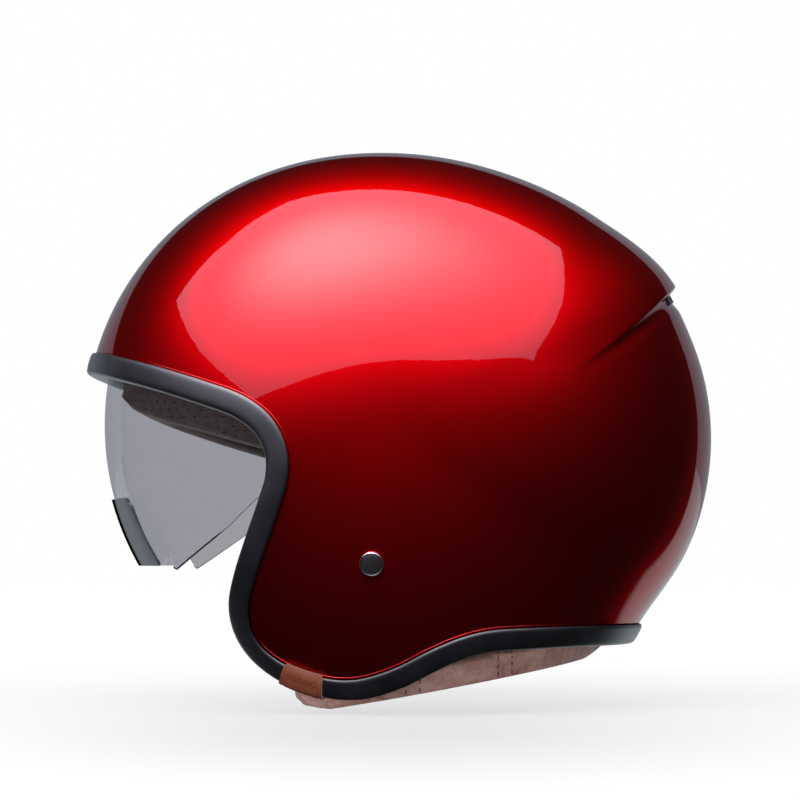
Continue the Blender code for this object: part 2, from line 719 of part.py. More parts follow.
def make_visor():
    steps = (40, 20)
    outside = visor_skin("visor_outer_skin", VISOR_RADIUS, VISOR_HALF_WIDTH, steps)
    inside = visor_skin(
        "visor_inner_skin", VISOR_RADIUS - VISOR_WALL, VISOR_HALF_WIDTH - VISOR_WALL, steps
    )
    visor = as_part(outside, "visor", CLEAR)
    boolean(visor, region("visor_region", visor_outline()), "INTERSECT")
    boolean(visor, inside)
    for side, sign in SIDES:
        place = Vector((PIVOT_X, sign * 108 * MM, PIVOT_Z))
        boolean(visor, cylinder_cutter(f"visor_bore_{side}", place, AXES[1], 5.9 * MM, 16 * MM))
        for index, turn in enumerate((0, VISOR_TRAVEL / 2, VISOR_TRAVEL)):
            reach = Vector((cos(radians(turn)), 0, sin(radians(turn)))) * (VISOR_BOSS + 0.3 * MM)
            name = f"detent_{side}_{index}"
            boolean(visor, cylinder_cutter(name, place + reach, AXES[1], 1.3 * MM, 16 * MM, 8))
    lip_skin = visor_skin("lip_outer_skin", VISOR_RADIUS + LIP_HEIGHT, VISOR_HALF_WIDTH, steps)
    lip_back = visor_skin("lip_inner_skin", VISOR_RADIUS + GAP, VISOR_HALF_WIDTH, steps)
    lip = as_part(lip_skin, "visor_pull_lip", SMOKE)
    space = region(
        "lip_region", ((-150, 62.4), (-60, 62.4), (-60, 92.2), (-150, 92.2)),
        -LIP_HALF_WIDTH, LIP_HALF_WIDTH,
    )
    boolean(lip, space, "INTERSECT")
    boolean(lip, lip_back)


def make_pivots():
    """Base plate, washer, bush, screw and detent spring of each visor pivot."""
    for side, sign in SIDES:
        axis = AXES[1] * sign
        hub = Vector((PIVOT_X, 0, PIVOT_Z))
        turned(
            f"visor_base_{side}",
            ((0.0, BASE_BOTTOM + 1 * MM), (1.8 * MM, BASE_BOTTOM + 1 * MM), (1.8 * MM, BOSS_TOP),
             (4.0 * MM, BOSS_TOP), (4.0 * MM, BASE_TOP), (18.0 * MM, BASE_TOP),
             (18.0 * MM, BASE_BOTTOM), (0.0, BASE_BOTTOM)),
            hub, axis, PLASTIC, 24,
        )
        low, high = BASE_TOP + GAP, WASHER_TOP
        ring_piece(f"friction_washer_{side}", 4.4, 9.0, low, high, hub, axis, NYLON)
        ring_piece(f"pivot_bush_{side}", 4.4, 5.5, WASHER_TOP + GAP, BOSS_TOP - GAP, hub, axis, NYLON)
        turned(
            f"pivot_screw_{side}",
            ((0.0, SCREW_TOP), (4.5 * MM, SCREW_TOP), (7.0 * MM, SCREW_TOP - 0.9 * MM),
             (7.0 * MM, BOSS_TOP + GAP), (1.5 * MM, BOSS_TOP + GAP),
             (1.5 * MM, BASE_BOTTOM + 1.5 * MM), (0.0, BASE_BOTTOM + 1.5 * MM)),
            hub, axis, STEEL, 16,
        )
        make_detent_spring(side, sign)


def ring_piece(name, bore, radius, low, high, hub, axis, look):
    profile = [(bore * MM, high), (radius * MM, high), (radius * MM, low), (bore * MM, low)]
    turned(name, profile, hub, axis, look, 16)


def make_detent_spring(side, sign):
    """A leaf spring behind the visor's boss, bent round the pivot, with a click tooth."""
    outer, inner = [], []
    for step in range(17):
        angle = -56 + 7 * step
        tooth = 0.7 * MM * max(0.0, 1 - abs(angle) / 10)
        turn = radians(angle)
        for row, radius in ((outer, 13.2 * MM), (inner, 12.6 * MM)):
            reach = radius - tooth
            row.append((PIVOT_X + reach * cos(turn), PIVOT_Z + reach * sin(turn)))
    outline = outer + inner[::-1]
    low, high = sorted((sign * (BASE_TOP + GAP), sign * 108 * MM))
    name = f"detent_spring_{side}"
    finish(name, flat_outline(name, [outline], low, high), STEEL)


# ---------------------------------------------------------------- chin strap
def offset_path(points, half):
    """A closed outline at half a thickness to both sides of an open path."""
    sides = ([], [])
    for i, point in enumerate(points):
        before = points[max(i - 1, 0)]
        after = points[min(i + 1, len(points) - 1)]
        along = (Vector(after) - Vector(before)).normalized()
        across = Vector((-along.y, along.x)) * half
        sides[0].append(tuple(Vector(point) + across))
        sides[1].append(tuple(Vector(point) - across))
    return sides[0] + sides[1][::-1]


def mirrored(outline, sign):
    """A front-view outline drawn for positive y, moved to one side of the helmet."""
    return [(sign * y, z) for y, z in outline]


STRAP_X = (RIVET_X - WEBBING_WIDTH / 2, RIVET_X + WEBBING_WIDTH / 2)
STRAP_EXIT_Z = rest_z(STRAP_X[1]) + ROLL_HEIGHT + GAP + WEBBING / 2


def make_strap_anchor(side, sign):
    """The rivet with its cap, the backing plate, and the fixed webbing behind the cheek foam."""
    place, normal = rivet_seat(sign)
    rivet = [(0.0, 0.85), (4.05, 0.85), (4.15, 1.5), (4.6, 1.55), (4.95, 1.0), (4.95, 0.35)]
    rivet += [(2.5, 0.35), (2.5, -10.1), (4.0, -10.1), (4.0, -11.0), (0.0, -11.0)]
    turned(
        f"strap_rivet_{side}", [(r * MM, h * MM) for r, h in rivet], place, normal, CHROME, 18
    )
    cap = [(0.0, 2.0), (2.2, 1.95), (3.6, 1.65), (3.8, 1.2), (0.0, 1.2)]
    turned(f"rivet_cap_{side}", [(r * MM, h * MM) for r, h in cap], place, normal, PLASTIC, 18)

    bore = cylinder_cutter(f"strap_bore_{side}", place, normal, 2.9 * MM, 40 * MM, 16)
    up = Vector((0, 0, 1))
    up = (up - normal * up.dot(normal)).normalized()
    name = f"strap_backing_plate_{side}"
    plate = finish(name, plate_box(name, place - normal * 9.3 * MM, normal, up, 20, 17, 1.0), STEEL)
    boolean(plate, bore)

    path = []
    for z in np.linspace(75, STRAP_EXIT_Z / MM + STRAP_BEND / MM, 9):
        inset = STRAP_INSET + STRAP_STEP_IN * (1 - ramp(z, 27, 42))
        path.append((half_width_at(RIVET_X, z * MM) - inset, z * MM))
    y_bend, z_bend = path[-1]
    for turn in (30, 60, 90):
        inward, down = STRAP_BEND * (1 - cos(radians(turn))), STRAP_BEND * sin(radians(turn))
        path.append((y_bend - inward, z_bend - down))
    path.append((STRAP_PIVOT_Y + 3.0 * MM, STRAP_EXIT_Z))
    outline = mirrored(offset_path(path, WEBBING / 2), sign)
    name = f"strap_upper_{side}"
    strap = finish(name, flat_outline(name, [outline], *STRAP_X, axis="X"), WEB)
    boolean(strap, bore)


def plate_box(name, middle, normal, drop, width, length, thickness):
    """A box in millimetres, its thickness along normal and its length along drop."""
    bm = bmesh.new()
    bmesh.ops.create_cube(bm, size=1)
    across = drop.cross(normal)
    axes = Matrix((across * width * MM, drop * length * MM, normal * thickness * MM)).transposed()
    bm.transform(Matrix.Translation(middle) @ axes.to_4x4())
    return mesh_of(bm, name)


def make_strap_left():
    """The short strap: webbing, its sewn loop for the rings, and the padded cover."""
    start = STRAP_EXIT_Z + 3.0 * MM
    top = STRAP_EXIT_Z + RING_RISE
    thin, thick = WEBBING / 2, 1.9 * MM
    loop_y, loop_z = 6.0 * MM, 4.1 * MM
    hole_y, hole_z = 4.3 * MM, 2.3 * MM
    right_side = [(STRAP_PIVOT_Y - 0.6 * MM + thin, start), (STRAP_Y + thin, start + 7 * MM)]
    right_side += [(STRAP_Y + thin, top - 28 * MM), (STRAP_Y + thick, top - 27 * MM)]
    right_side += [(STRAP_Y + thick, top - 7 * MM)]
    left_side = [(2 * STRAP_Y - y, z) for y, z in right_side[2:]]
    left_side = [(STRAP_PIVOT_Y - 0.6 * MM - thin, start), (STRAP_Y - thin, start + 7 * MM)] + left_side
    over = []
    for step in range(9):
        turn = radians(-20 + 220 * step / 8)
        over.append((STRAP_Y + loop_y * cos(turn), top + loop_z * sin(turn)))
    hole = []
    for step in range(12):
        turn = 2 * pi * step / 12
        hole.append((STRAP_Y + hole_y * cos(turn), top + hole_z * sin(turn)))
    outline = right_side + over + left_side[::-1]
    outlines = [mirrored(outline, -1), mirrored(hole, -1)]
    finish("strap_left", flat_outline("strap_left", outlines, *STRAP_X, axis="X"), WEB)
    make_cover("left", -1, 10 * MM, 54 * MM)


def make_strap_right():
    """The long strap, its free end folded back on itself and held by a snap."""
    start = STRAP_EXIT_Z + 3.0 * MM
    top = STRAP_EXIT_Z + 112 * MM
    fold = 1.5 * MM
    path = [(STRAP_PIVOT_Y - 0.6 * MM, start), (STRAP_Y + fold, start + 8 * MM), (STRAP_Y + fold, top)]
    for turn in range(30, 180, 30):
        path.append((STRAP_Y + fold * cos(radians(turn)), top + fold * sin(radians(turn))))
    path += [(STRAP_Y - fold, top), (STRAP_Y - fold, top - 46 * MM)]
    outline = offset_path(path, WEBBING / 2)
    strap = finish("strap_right", flat_outline("strap_right", [outline], *STRAP_X, axis="X"), WEB)
    snap_z = top - 34 * MM
    place = Vector((RIVET_X, STRAP_Y, snap_z))
    boolean(strap, cylinder_cutter("snap_hole", place, AXES[1], 2.3 * MM, 20 * MM, 20))
    face = fold + WEBBING / 2 + GAP
    profile = [(0.0, face + 1.6 * MM), (4.0 * MM, face + 1.3 * MM), (5.5 * MM, face + 0.5 * MM)]
    profile += [(5.5 * MM, face), (1.9 * MM, face), (1.9 * MM, -face), (5.0 * MM, -face)]
    profile += [(5.0 * MM, -face - 0.8 * MM), (0.0, -face - 0.8 * MM)]
    turned("strap_snap", profile, place, -AXES[1], STEEL, 20)
    make_cover("right", 1, 10 * MM, 54 * MM)


def make_cover(side, sign, low, high):
    """The padded sleeve that the webbing runs through."""
    name = f"strap_cover_{side}"
    bottom, top = STRAP_EXIT_Z + low, STRAP_EXIT_Z + high
    middle = Vector((RIVET_X, sign * STRAP_Y, (bottom + top) / 2))
    bm = bmesh.new()
    bmesh.ops.create_cube(bm, size=1)
    scale = Matrix.Diagonal((COVER_WIDTH, COVER_DEPTH, top - bottom, 1))
    bm.transform(Matrix.Translation(middle) @ scale)
    bmesh.ops.bevel(
        bm, geom=list(bm.edges), offset=2.2 * MM, segments=2, profile=0.5, affect="EDGES"
    )
    cover = finish(name, mesh_of(bm, name), WEB)
    bm = bmesh.new()
    bmesh.ops.create_cube(bm, size=1)
    slot_depth = 5.4 * MM if sign > 0 else 2.6 * MM
    scale = Matrix.Diagonal((WEBBING_WIDTH + 1 * MM, slot_depth, 1.4 * (top - bottom), 1))
    bm.transform(Matrix.Translation(middle) @ scale)
    boolean(cover, finish(f"cover_slot_{side}", mesh_of(bm, f"cover_slot_{side}"), helper=True))


def make_rings():
    """Two D-rings. Each has its straight bar in the strap's loop, and that bar is its hinge."""
    for name, shift in (("d_ring_outer", -1), ("d_ring_inner", 1)):
        bar_y = -STRAP_Y + shift * RING_BAR_GAP / 2
        curve = bpy.data.curves.new(name, "CURVE")
        curve.dimensions = "3D"
        curve.bevel_depth = RING_WIRE
        curve.bevel_resolution = 1
        half, rise = 13.4 * MM, 20.0 * MM
        points = [(-half + 2 * MM, 0), (half - 2 * MM, 0), (half, 2 * MM)]
        for step in range(1, 10):
            turn = radians(18 * step)
            points.append((half * cos(turn), 4 * MM + (rise - 4 * MM) * sin(turn)))
        points.append((-half, 2 * MM))
        spline = curve.splines.new("POLY")
        spline.points.add(len(points) - 1)
        spline.use_cyclic_u = True
        for place, (x, z) in zip(spline.points, points):
            place.co = (x, 0, z, 1)
        curve.materials.append(CHROME)
        ring = bpy.data.objects.new(name, curve)
        helmet.objects.link(ring)
        ring.location = (RIVET_X, bar_y, STRAP_EXIT_Z + RING_RISE)


def make_snaps():
    """The press studs that hold each cheek pad to its foam block."""
    for side, sign in SIDES:
        for index, (x, z) in enumerate(((-34 * MM, 62 * MM), (22 * MM, 58 * MM)), 1):
            inset = CHEEK_FOAM[1] + 1.9 * MM
            width = half_width_at(x, z, inset)
            place = Vector((x, sign * width, z))
            surface = Vector((x, sign * half_width_at(x, z), z))
            direction = -outward(surface)
            profile = [(0.0, 1.1), (4.2, 1.1), (5.0, 0.6), (5.0, 0.0), (0.0, 0.0)]
            turned(
                f"cheek_snap_{side}_{index}", [(r * MM, h * MM) for r, h in profile],
                place, direction, STEEL, 16,
            )


make_shell()
make_trim()
make_vent()
make_leather_tab()
make_foam()
make_pads()
make_visor()
make_pivots()
for side_name, side_sign in SIDES:
    make_strap_anchor(side_name, side_sign)
make_strap_left()
make_strap_right()
make_rings()
make_snaps()
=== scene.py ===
"""The looks of the open-face helmet: fine shell, trim, visor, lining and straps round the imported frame."""

import json
from math import cos, pi, radians, sin

import bmesh
import bpy
import numpy as np
from mathutils import Matrix, Vector
from mathutils.bvhtree import BVHTree


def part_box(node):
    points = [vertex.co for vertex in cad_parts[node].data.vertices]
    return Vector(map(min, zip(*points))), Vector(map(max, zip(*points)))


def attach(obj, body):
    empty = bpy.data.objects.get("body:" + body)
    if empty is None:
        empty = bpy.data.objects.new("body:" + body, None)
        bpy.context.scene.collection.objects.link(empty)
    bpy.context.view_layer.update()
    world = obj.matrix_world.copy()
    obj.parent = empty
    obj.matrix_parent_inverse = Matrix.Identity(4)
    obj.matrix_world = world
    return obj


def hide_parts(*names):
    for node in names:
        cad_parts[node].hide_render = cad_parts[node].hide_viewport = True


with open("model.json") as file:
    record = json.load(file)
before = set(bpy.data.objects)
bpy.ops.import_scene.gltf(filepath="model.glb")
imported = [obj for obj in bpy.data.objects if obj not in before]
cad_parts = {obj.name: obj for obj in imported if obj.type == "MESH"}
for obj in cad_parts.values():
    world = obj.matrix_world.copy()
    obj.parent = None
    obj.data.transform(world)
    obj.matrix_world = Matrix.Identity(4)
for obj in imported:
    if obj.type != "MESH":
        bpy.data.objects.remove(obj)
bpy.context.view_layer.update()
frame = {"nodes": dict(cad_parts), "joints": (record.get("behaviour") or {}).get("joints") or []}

MM = 0.001

# ---------------------------------------------------------------- the helmet's form (the CAD's own rule)
CENTRE = np.array((-6.0, 0.0, 124.0)) * MM
HALF_WIDTH = 118.0 * MM
ROUNDNESS, EASE = 2.25, 0.25
PROFILE = (
    (0, 148.3), (12, 146.7), (20, 145.0), (27, 144.0), (34, 141.8), (43, 138.2), (54, 133.6),
    (68, 129.4), (80, 127.8), (91, 127.6), (106, 129.2), (121, 131.9), (136, 134.6),
    (150, 136.5), (164, 137.7), (180, 137.5), (200, 135.5), (218, 136.0), (235, 142.0),
    (252, 156.0), (270, 170.0), (290, 168.0), (308, 154.0), (324, 144.6), (335, 146.8),
    (347, 148.4),
)
EDGE = (
    (-143, 154.6), (-122, 148.0), (-104, 142.4), (-84, 135.6), (-68, 129.4), (-57.5, 121.5),
    (-52, 111), (-51.5, 100), (-55, 88), (-60.5, 73), (-66, 57), (-68.5, 45), (-66.5, 34),
    (-60, 24.5), (-49, 16.8), (-35, 11.8), (-23, 10.2), (-12, 11.6), (1, 16.2), (14, 22.9),
    (26, 28), (38, 30.9), (55, 31.8), (80, 32.3), (112, 32.0),
)
SHELL_WALL = 3.4 * MM
KICK_ANGLE, KICK_DROP, KICK_SPREAD, KICK_POWER = 26.2, 9.7, 54.5, 2.3
KICK_HEIGHT, NOTCH_DEPTH = 3.8 * MM, 1.5 * MM
FAR = 0.175


def periodic_spline(knots):
    """A smooth function of degrees, or of an array of them, through (degrees, value) knots."""
    angles = np.array([knot[0] for knot in knots], float)
    values = np.array([knot[1] for knot in knots], float)
    gaps = np.diff(np.append(angles, angles[0] + 360.0))
    count = len(knots)
    system, right = np.zeros((count, count)), np.zeros(count)
    for i in range(count):
        last, following = (i - 1) % count, (i + 1) % count
        system[i, last] += gaps[last]
        system[i, i] += 2 * (gaps[last] + gaps[i])
        system[i, following] += gaps[i]
        rise = (values[following] - values[i]) / gaps[i]
        right[i] = 6 * (rise - (values[i] - values[last]) / gaps[last])
    bends = np.linalg.solve(system, right)

    def value(angle):
        angle = np.asarray(angle, float) % 360.0
        i = np.searchsorted(angles, angle, side="right") - 1
        following = (i + 1) % count
        gap, done = gaps[i], angle - angles[i]
        left = gap - done
        curve = (bends[i] * left**3 + bends[following] * done**3) / (6 * gap)
        slope_a = values[i] / gap - bends[i] * gap / 6
        slope_b = values[following] / gap - bends[following] * gap / 6
        return curve + slope_a * left + slope_b * done

    return value


profile_mm = periodic_spline(PROFILE)


def ramp(value, low, high):
    """0 below low, 1 above high, smooth between."""
    share = np.clip((value - low) / (high - low), 0.0, 1.0)
    return share * share * (3 - 2 * share)


WHOLE = (1 + EASE**2) ** (ROUNDNESS / 2) - EASE**ROUNDNESS


def part_of(share):
    return ((share**2 + EASE**2) ** (ROUNDNESS / 2) - EASE**ROUNDNESS) / WHOLE


def share_of(part):
    squared = (np.maximum(part, 0) * WHOLE + EASE**ROUNDNESS) ** (2 / ROUNDNESS) - EASE**2
    return np.sqrt(np.maximum(squared, 0.0))


def crease_angle(latitude):
    return KICK_ANGLE - KICK_DROP * (np.abs(latitude) / KICK_SPREAD) ** KICK_POWER


def kick(angle, latitude):
    """Height of the rear kick above the plain form: a notch under a raised lip."""
    fade = 1 - ramp(np.abs(latitude), 24, 60)
    above = angle - crease_angle(latitude)
    notch = -NOTCH_DEPTH * fade * ramp(above, -4.5, -1.6) * (1 - ramp(above, -1.6, -0.1))
    lip = KICK_HEIGHT * fade * ramp(above, -0.7, 0.35) * (1 - ramp(above, 1, 20))
    return notch + lip


def skin(angle, latitude, inset=0.0, bump=0.0):
    """Points of a skin, for arrays of degrees that broadcast together."""
    angle, latitude = np.broadcast_arrays(angle, latitude)
    along = np.abs(np.cos(np.radians(latitude))) ** (2 / ROUNDNESS)
    across = share_of(1 - part_of(along)) * np.sign(latitude)
    radius = (profile_mm(angle) * MM - inset + bump) * along
    turn = np.radians(angle)
    x, z = CENTRE[0] + radius * np.cos(turn), CENTRE[2] + radius * np.sin(turn)
    return np.stack((x, (HALF_WIDTH - inset) * across, z), axis=-1)


def half_width_at(x, z, inset=0.0):
    """Half the width of a skin at a place in side view, and nan outside its outline."""
    angle = np.degrees(np.arctan2(z - CENTRE[2], x - CENTRE[0]))
    share = np.hypot(x - CENTRE[0], z - CENTRE[2]) / (profile_mm(angle) * MM - inset)
    width = (HALF_WIDTH - inset) * share_of(1 - part_of(np.minimum(share, 1)))
    return np.where(share <= 1, width, np.nan)


def level(points):
    """1 on the outer form, less inside it."""
    offset = points - CENTRE
    angle = np.degrees(np.arctan2(offset[..., 2], offset[..., 0]))
    share = np.hypot(offset[..., 0], offset[..., 2]) / (profile_mm(angle) * MM)
    return part_of(share) + part_of(np.abs(points[..., 1]) / HALF_WIDTH)


def outward(points):
    """Unit normals of the outer form at points on it."""
    points = np.asarray(points, float)
    step = 0.05 * MM
    sides = [level(points + axis) - level(points - axis) for axis in np.eye(3) * step]
    gradient = np.stack(sides, axis=-1)
    return gradient / np.linalg.norm(gradient, axis=-1, keepdims=True)


# ---------------------------------------------------------------- lines
def smooth_line(points, steps):
    """A Catmull-Rom line through points of any dimension."""
    knots = np.array(points, float)
    knots = np.vstack((2 * knots[0] - knots[1], knots, 2 * knots[-1] - knots[-2]))
    line = []
    for a, b, c, d in zip(knots, knots[1:], knots[2:], knots[3:]):
        for t in np.arange(steps) / steps:
            rise = (c - a) * t + (2 * a - 5 * b + 4 * c - d) * t * t
            line.append(b + (rise + (3 * b - a - 3 * c + d) * t**3) / 2)
    line.append(knots[-2])
    return np.array(line)


def even_line(line, count):
    """count + 1 points at equal distances along a line."""
    travel = np.append(0, np.cumsum(np.linalg.norm(np.diff(line, axis=0), axis=1)))
    wanted = np.linspace(0, travel[-1], count + 1)
    return np.stack([np.interp(wanted, travel, axis) for axis in line.T], axis=-1)


def edge_loop(stations):
    """The trim's middle on the outer form, once round the helmet, from the brow by the left."""
    side = smooth_line(np.array(EDGE) * MM, 120)
    width = half_width_at(side[:, 0], side[:, 1])
    side, width = side[~np.isnan(width)], width[~np.isnan(width)]
    left = np.stack((side[:, 0], -width, side[:, 1]), axis=-1)
    left[0, 1] = left[-1, 1] = 0.0
    left = even_line(left, stations)
    right = left[-2:0:-1] * (1, -1, 1)
    return np.vstack((left, right))


def loop_frames(loop):
    """(points, directions to the free side, outward normals) of a closed loop on the form."""
    tangent = np.roll(loop, -1, axis=0) - np.roll(loop, 1, axis=0)
    normal = outward(loop)
    free = np.cross(tangent, normal)
    return loop, free / np.linalg.norm(free, axis=1, keepdims=True), normal


EDGE_STEPS = 240
EDGE_FRAMES = loop_frames(edge_loop(EDGE_STEPS))


def opening_outline(margin):
    """Side-view outline of all that lies past the edge line moved by margin to its free side."""
    points, free, _ = EDGE_FRAMES
    line = (points + free * margin)[: EDGE_STEPS + 1][:, (0, 2)]
    slope = (line[2, 1] - line[0, 1]) / (line[2, 0] - line[0, 0])
    front = (-FAR, line[0, 1] + slope * (-FAR - line[0, 0]))
    return np.vstack((front, line, (FAR, line[-1, 1]), (FAR, -FAR), (-FAR, -FAR)))


def inside_outline(x, z, outline):
    """Which of the side-view places lie inside a closed outline."""
    inside = np.zeros(np.shape(x), bool)
    for (ax, az), (bx, bz) in zip(outline, np.roll(outline, -1, axis=0)):
        if az == bz:
            continue
        crosses = (az > z) != (bz > z)
        inside ^= crosses & (x < ax + (z - az) * (bx - ax) / (bz - az))
    return inside


# ---------------------------------------------------------------- meshes
def linked(name, data):
    thing = bpy.data.objects.new(name, data)
    bpy.context.scene.collection.objects.link(thing)
    return thing


def new_piece(name, mesh, look, body="helmet", replaces=()):
    piece = linked(name, mesh)
    mesh.materials.clear()
    mesh.materials.append(look)
    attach(piece, body)
    if replaces:
        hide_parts(*replaces)
    return piece


def mesh_from(name, points, faces, sharp=35):
    mesh = bpy.data.meshes.new(name)
    mesh.from_pydata([tuple(p) for p in points], [], [tuple(int(i) for i in f) for f in faces])
    bm = bmesh.new()
    bm.from_mesh(mesh)
    loose = [vertex for vertex in bm.verts if not vertex.link_faces]
    bmesh.ops.delete(bm, geom=loose, context="VERTS")
    bmesh.ops.remove_doubles(bm, verts=bm.verts, dist=0.001 * MM)
    bmesh.ops.recalc_face_normals(bm, faces=bm.faces)
    if bm.calc_volume(signed=True) < 0:
        bmesh.ops.reverse_faces(bm, faces=bm.faces)
    bm.to_mesh(mesh)
    bm.free()
    smooth(mesh, sharp)
    return mesh


def smooth(mesh, sharp=35):
    mesh.shade_smooth()
    mesh.set_sharp_from_angle(angle=radians(sharp))


def grid_faces(rows, columns, cyclic_rows=False, cyclic_columns=False):
    """Quads of a grid whose points are numbered row by row."""
    row = np.arange(rows if cyclic_rows else rows - 1)
    column = np.arange(columns if cyclic_columns else columns - 1)
    i, j = np.meshgrid(row, column, indexing="ij")
    k, m = (i + 1) % rows, (j + 1) % columns
    corners = (i * columns + j, i * columns + m, k * columns + m, k * columns + j)
    return np.stack(corners, axis=-1).reshape(-1, 4)


def loft(name, rings, closed=False, sharp=35):
    """A closed mesh over equal rings of points: joined end to end, or capped."""
    rings = np.asarray(rings)
    rows, columns = rings.shape[:2]
    faces = [list(f) for f in grid_faces(rows, columns, closed, True)]
    if not closed:
        faces.append(list(range(columns)))
        faces.append(list(range((rows - 1) * columns, rows * columns)))
    return mesh_from(name, rings.reshape(-1, 3), faces, sharp)


def sweep(name, section, frames, closed=True, sharp=35):
    """A section of (to the free side, outwards), in mm, carried along edge frames."""
    points, free, normal = (np.asarray(a)[:, None, :] for a in frames)
    section = np.array(section) * MM
    rings = points + free * section[None, :, :1] + normal * section[None, :, 1:]
    return loft(name, rings, closed, sharp)


CORNER_SHARE = 0.25


def rounded(outline, times=2):
    """An outline with its corners cut, again and again."""
    outline = np.array(outline, float)
    for _ in range(times):
        following = np.roll(outline, -1, axis=0)
        near = outline * (1 - CORNER_SHARE) + following * CORNER_SHARE
        far = outline * CORNER_SHARE + following * (1 - CORNER_SHARE)
        outline = np.stack((near, far), axis=1).reshape(-1, outline.shape[1])
    return outline


def read(mesh, normals=False):
    """A mesh's points, or its points and normals, as arrays of rows."""
    points = np.zeros((len(mesh.vertices), 3))
    mesh.vertices.foreach_get("co", points.ravel())
    if not normals:
        return points
    ways = np.zeros_like(points)
    mesh.vertex_normals.foreach_get("vector", ways.ravel())
    return points, ways


def write(mesh, points):
    mesh.vertices.foreach_set("co", points.ravel())
    mesh.update()


def apply_modifiers(piece):
    bpy.context.view_layer.update()
    graph = bpy.context.evaluated_depsgraph_get()
    mesh = bpy.data.meshes.new_from_object(piece.evaluated_get(graph))
    piece.modifiers.clear()
    piece.data = mesh
    return piece


def boolean(mesh, cutter_mesh, operation="DIFFERENCE"):
    """A mesh cut by, or kept inside, another mesh."""
    work, cutter = linked("work", mesh), linked("cutter", cutter_mesh)
    step = work.modifiers.new("cut", "BOOLEAN")
    step.object, step.operation, step.solver = cutter, operation, "EXACT"
    apply_modifiers(work)
    result = work.data
    for each in (work, cutter):
        bpy.data.objects.remove(each)
    smooth(result)
    return result


def prism(name, outline):
    """A side-view outline in metres, drawn out across the helmet."""
    near = np.array([(x, -FAR, z) for x, z in outline])
    return loft(name, [near, near + (0, 2 * FAR, 0)])


# ---------------------------------------------------------------- node materials
class Nodes:
    """A short way to build a material's node tree."""

    def __init__(self, name):
        self.material = bpy.data.materials.new(name)
        self.material.use_nodes = True
        self.tree = self.material.node_tree
        self.shader = self.tree.nodes["Principled BSDF"]
        self.output = self.tree.nodes["Material Output"]

    def add(self, kind, inputs=None, **settings):
        node = self.tree.nodes.new(kind)
        for key, value in settings.items():
            setattr(node, key, value)
        for key, value in (inputs or {}).items():
            self.put(node.inputs[key], value)
        return node

    def surface(self, shader):
        self.put(self.output.inputs["Surface"], shader.outputs[0])
        return self.material

    def blob(self, x, y, reach):
        """A soft oval spot: 1 in its middle, falling off over its two reaches."""
        parts = [self.math("POWER", self.math("ABSOLUTE", self.math("DIVIDE", a, r)), 2.0)
                 for a, r in zip((x, y), reach)]
        return self.math("EXPONENT", self.math("MULTIPLY", self.math("ADD", *parts), -1.0))

    def put(self, socket, value):
        if isinstance(value, bpy.types.NodeSocket):
            self.tree.links.new(value, socket)
        elif isinstance(value, tuple) and len(value) == 3 and socket.type == "RGBA":
            socket.default_value = (*value, 1.0)
        else:
            socket.default_value = value

    def set(self, **inputs):
        for key, value in inputs.items():
            self.put(self.shader.inputs[key.replace("_", " ")], value)
        return self

    def place(self):
        """Object-space coordinates, so a pattern moves with its piece."""
        return self.add("ShaderNodeTexCoord").outputs["Object"]

    def noise(self, scale, detail=4.0, rough=0.55, distort=0.0, where=None):
        inputs = {"Scale": scale, "Detail": detail, "Roughness": rough, "Distortion": distort}
        inputs["Vector"] = where or self.place()
        return self.add("ShaderNodeTexNoise", inputs).outputs["Fac"]

    def cells(self, scale, feature="F1", output="Distance", where=None):
        inputs = {"Scale": scale, "Vector": where or self.place()}
        return self.add("ShaderNodeTexVoronoi", inputs, feature=feature).outputs[output]

    def math(self, operation, a, b=0.5, c=0.0, clamp=False):
        inputs = {0: a, 1: b, 2: c}
        return self.add("ShaderNodeMath", inputs, operation=operation, use_clamp=clamp).outputs[0]

    def steps(self, factor, *stops):
        """A colour ramp of (position, colour or value) stops."""
        node = self.add("ShaderNodeValToRGB", {"Fac": factor})
        bar = node.color_ramp.elements
        while len(bar) < len(stops):
            bar.new(0.5)
        for mark, (position, colour) in zip(bar, stops):
            mark.position = position
            colour = (colour,) * 3 if isinstance(colour, (int, float)) else colour
            mark.color = (*colour, 1.0)
        return node.outputs["Color"]

    def blend(self, factor, a, b, mode="MIX"):
        node = self.add("ShaderNodeMix", data_type="RGBA", blend_type=mode)
        self.put(node.inputs["Factor"], factor)
        self.put(node.inputs["A"], a)
        self.put(node.inputs["B"], b)
        return node.outputs["Result"]

    def bump(self, height, strength=0.3, distance=0.2 * MM, normal=None):
        inputs = {"Height": height, "Strength": strength, "Distance": distance}
        if normal is not None:
            inputs["Normal"] = normal
        return self.add("ShaderNodeBump", inputs).outputs["Normal"]


def facing(n):
    """How squarely a surface faces the ray that meets it, from 0 at its outline to 1."""
    way = n.add("ShaderNodeNewGeometry").outputs
    sides = {0: way["Normal"], 1: way["Incoming"]}
    met = n.add("ShaderNodeVectorMath", sides, operation="DOT_PRODUCT").outputs["Value"]
    return n.math("MAXIMUM", n.math("ABSOLUTE", met), 0.08)


def candy_depth(n):
    """Light lost in the tinted layer, whose path grows longer towards the outline."""
    extra = n.math("SUBTRACT", n.math("DIVIDE", 1.0, facing(n)), 1.0)
    return n.math("EXPONENT", n.math("MULTIPLY", extra, -CANDY_STRENGTH))


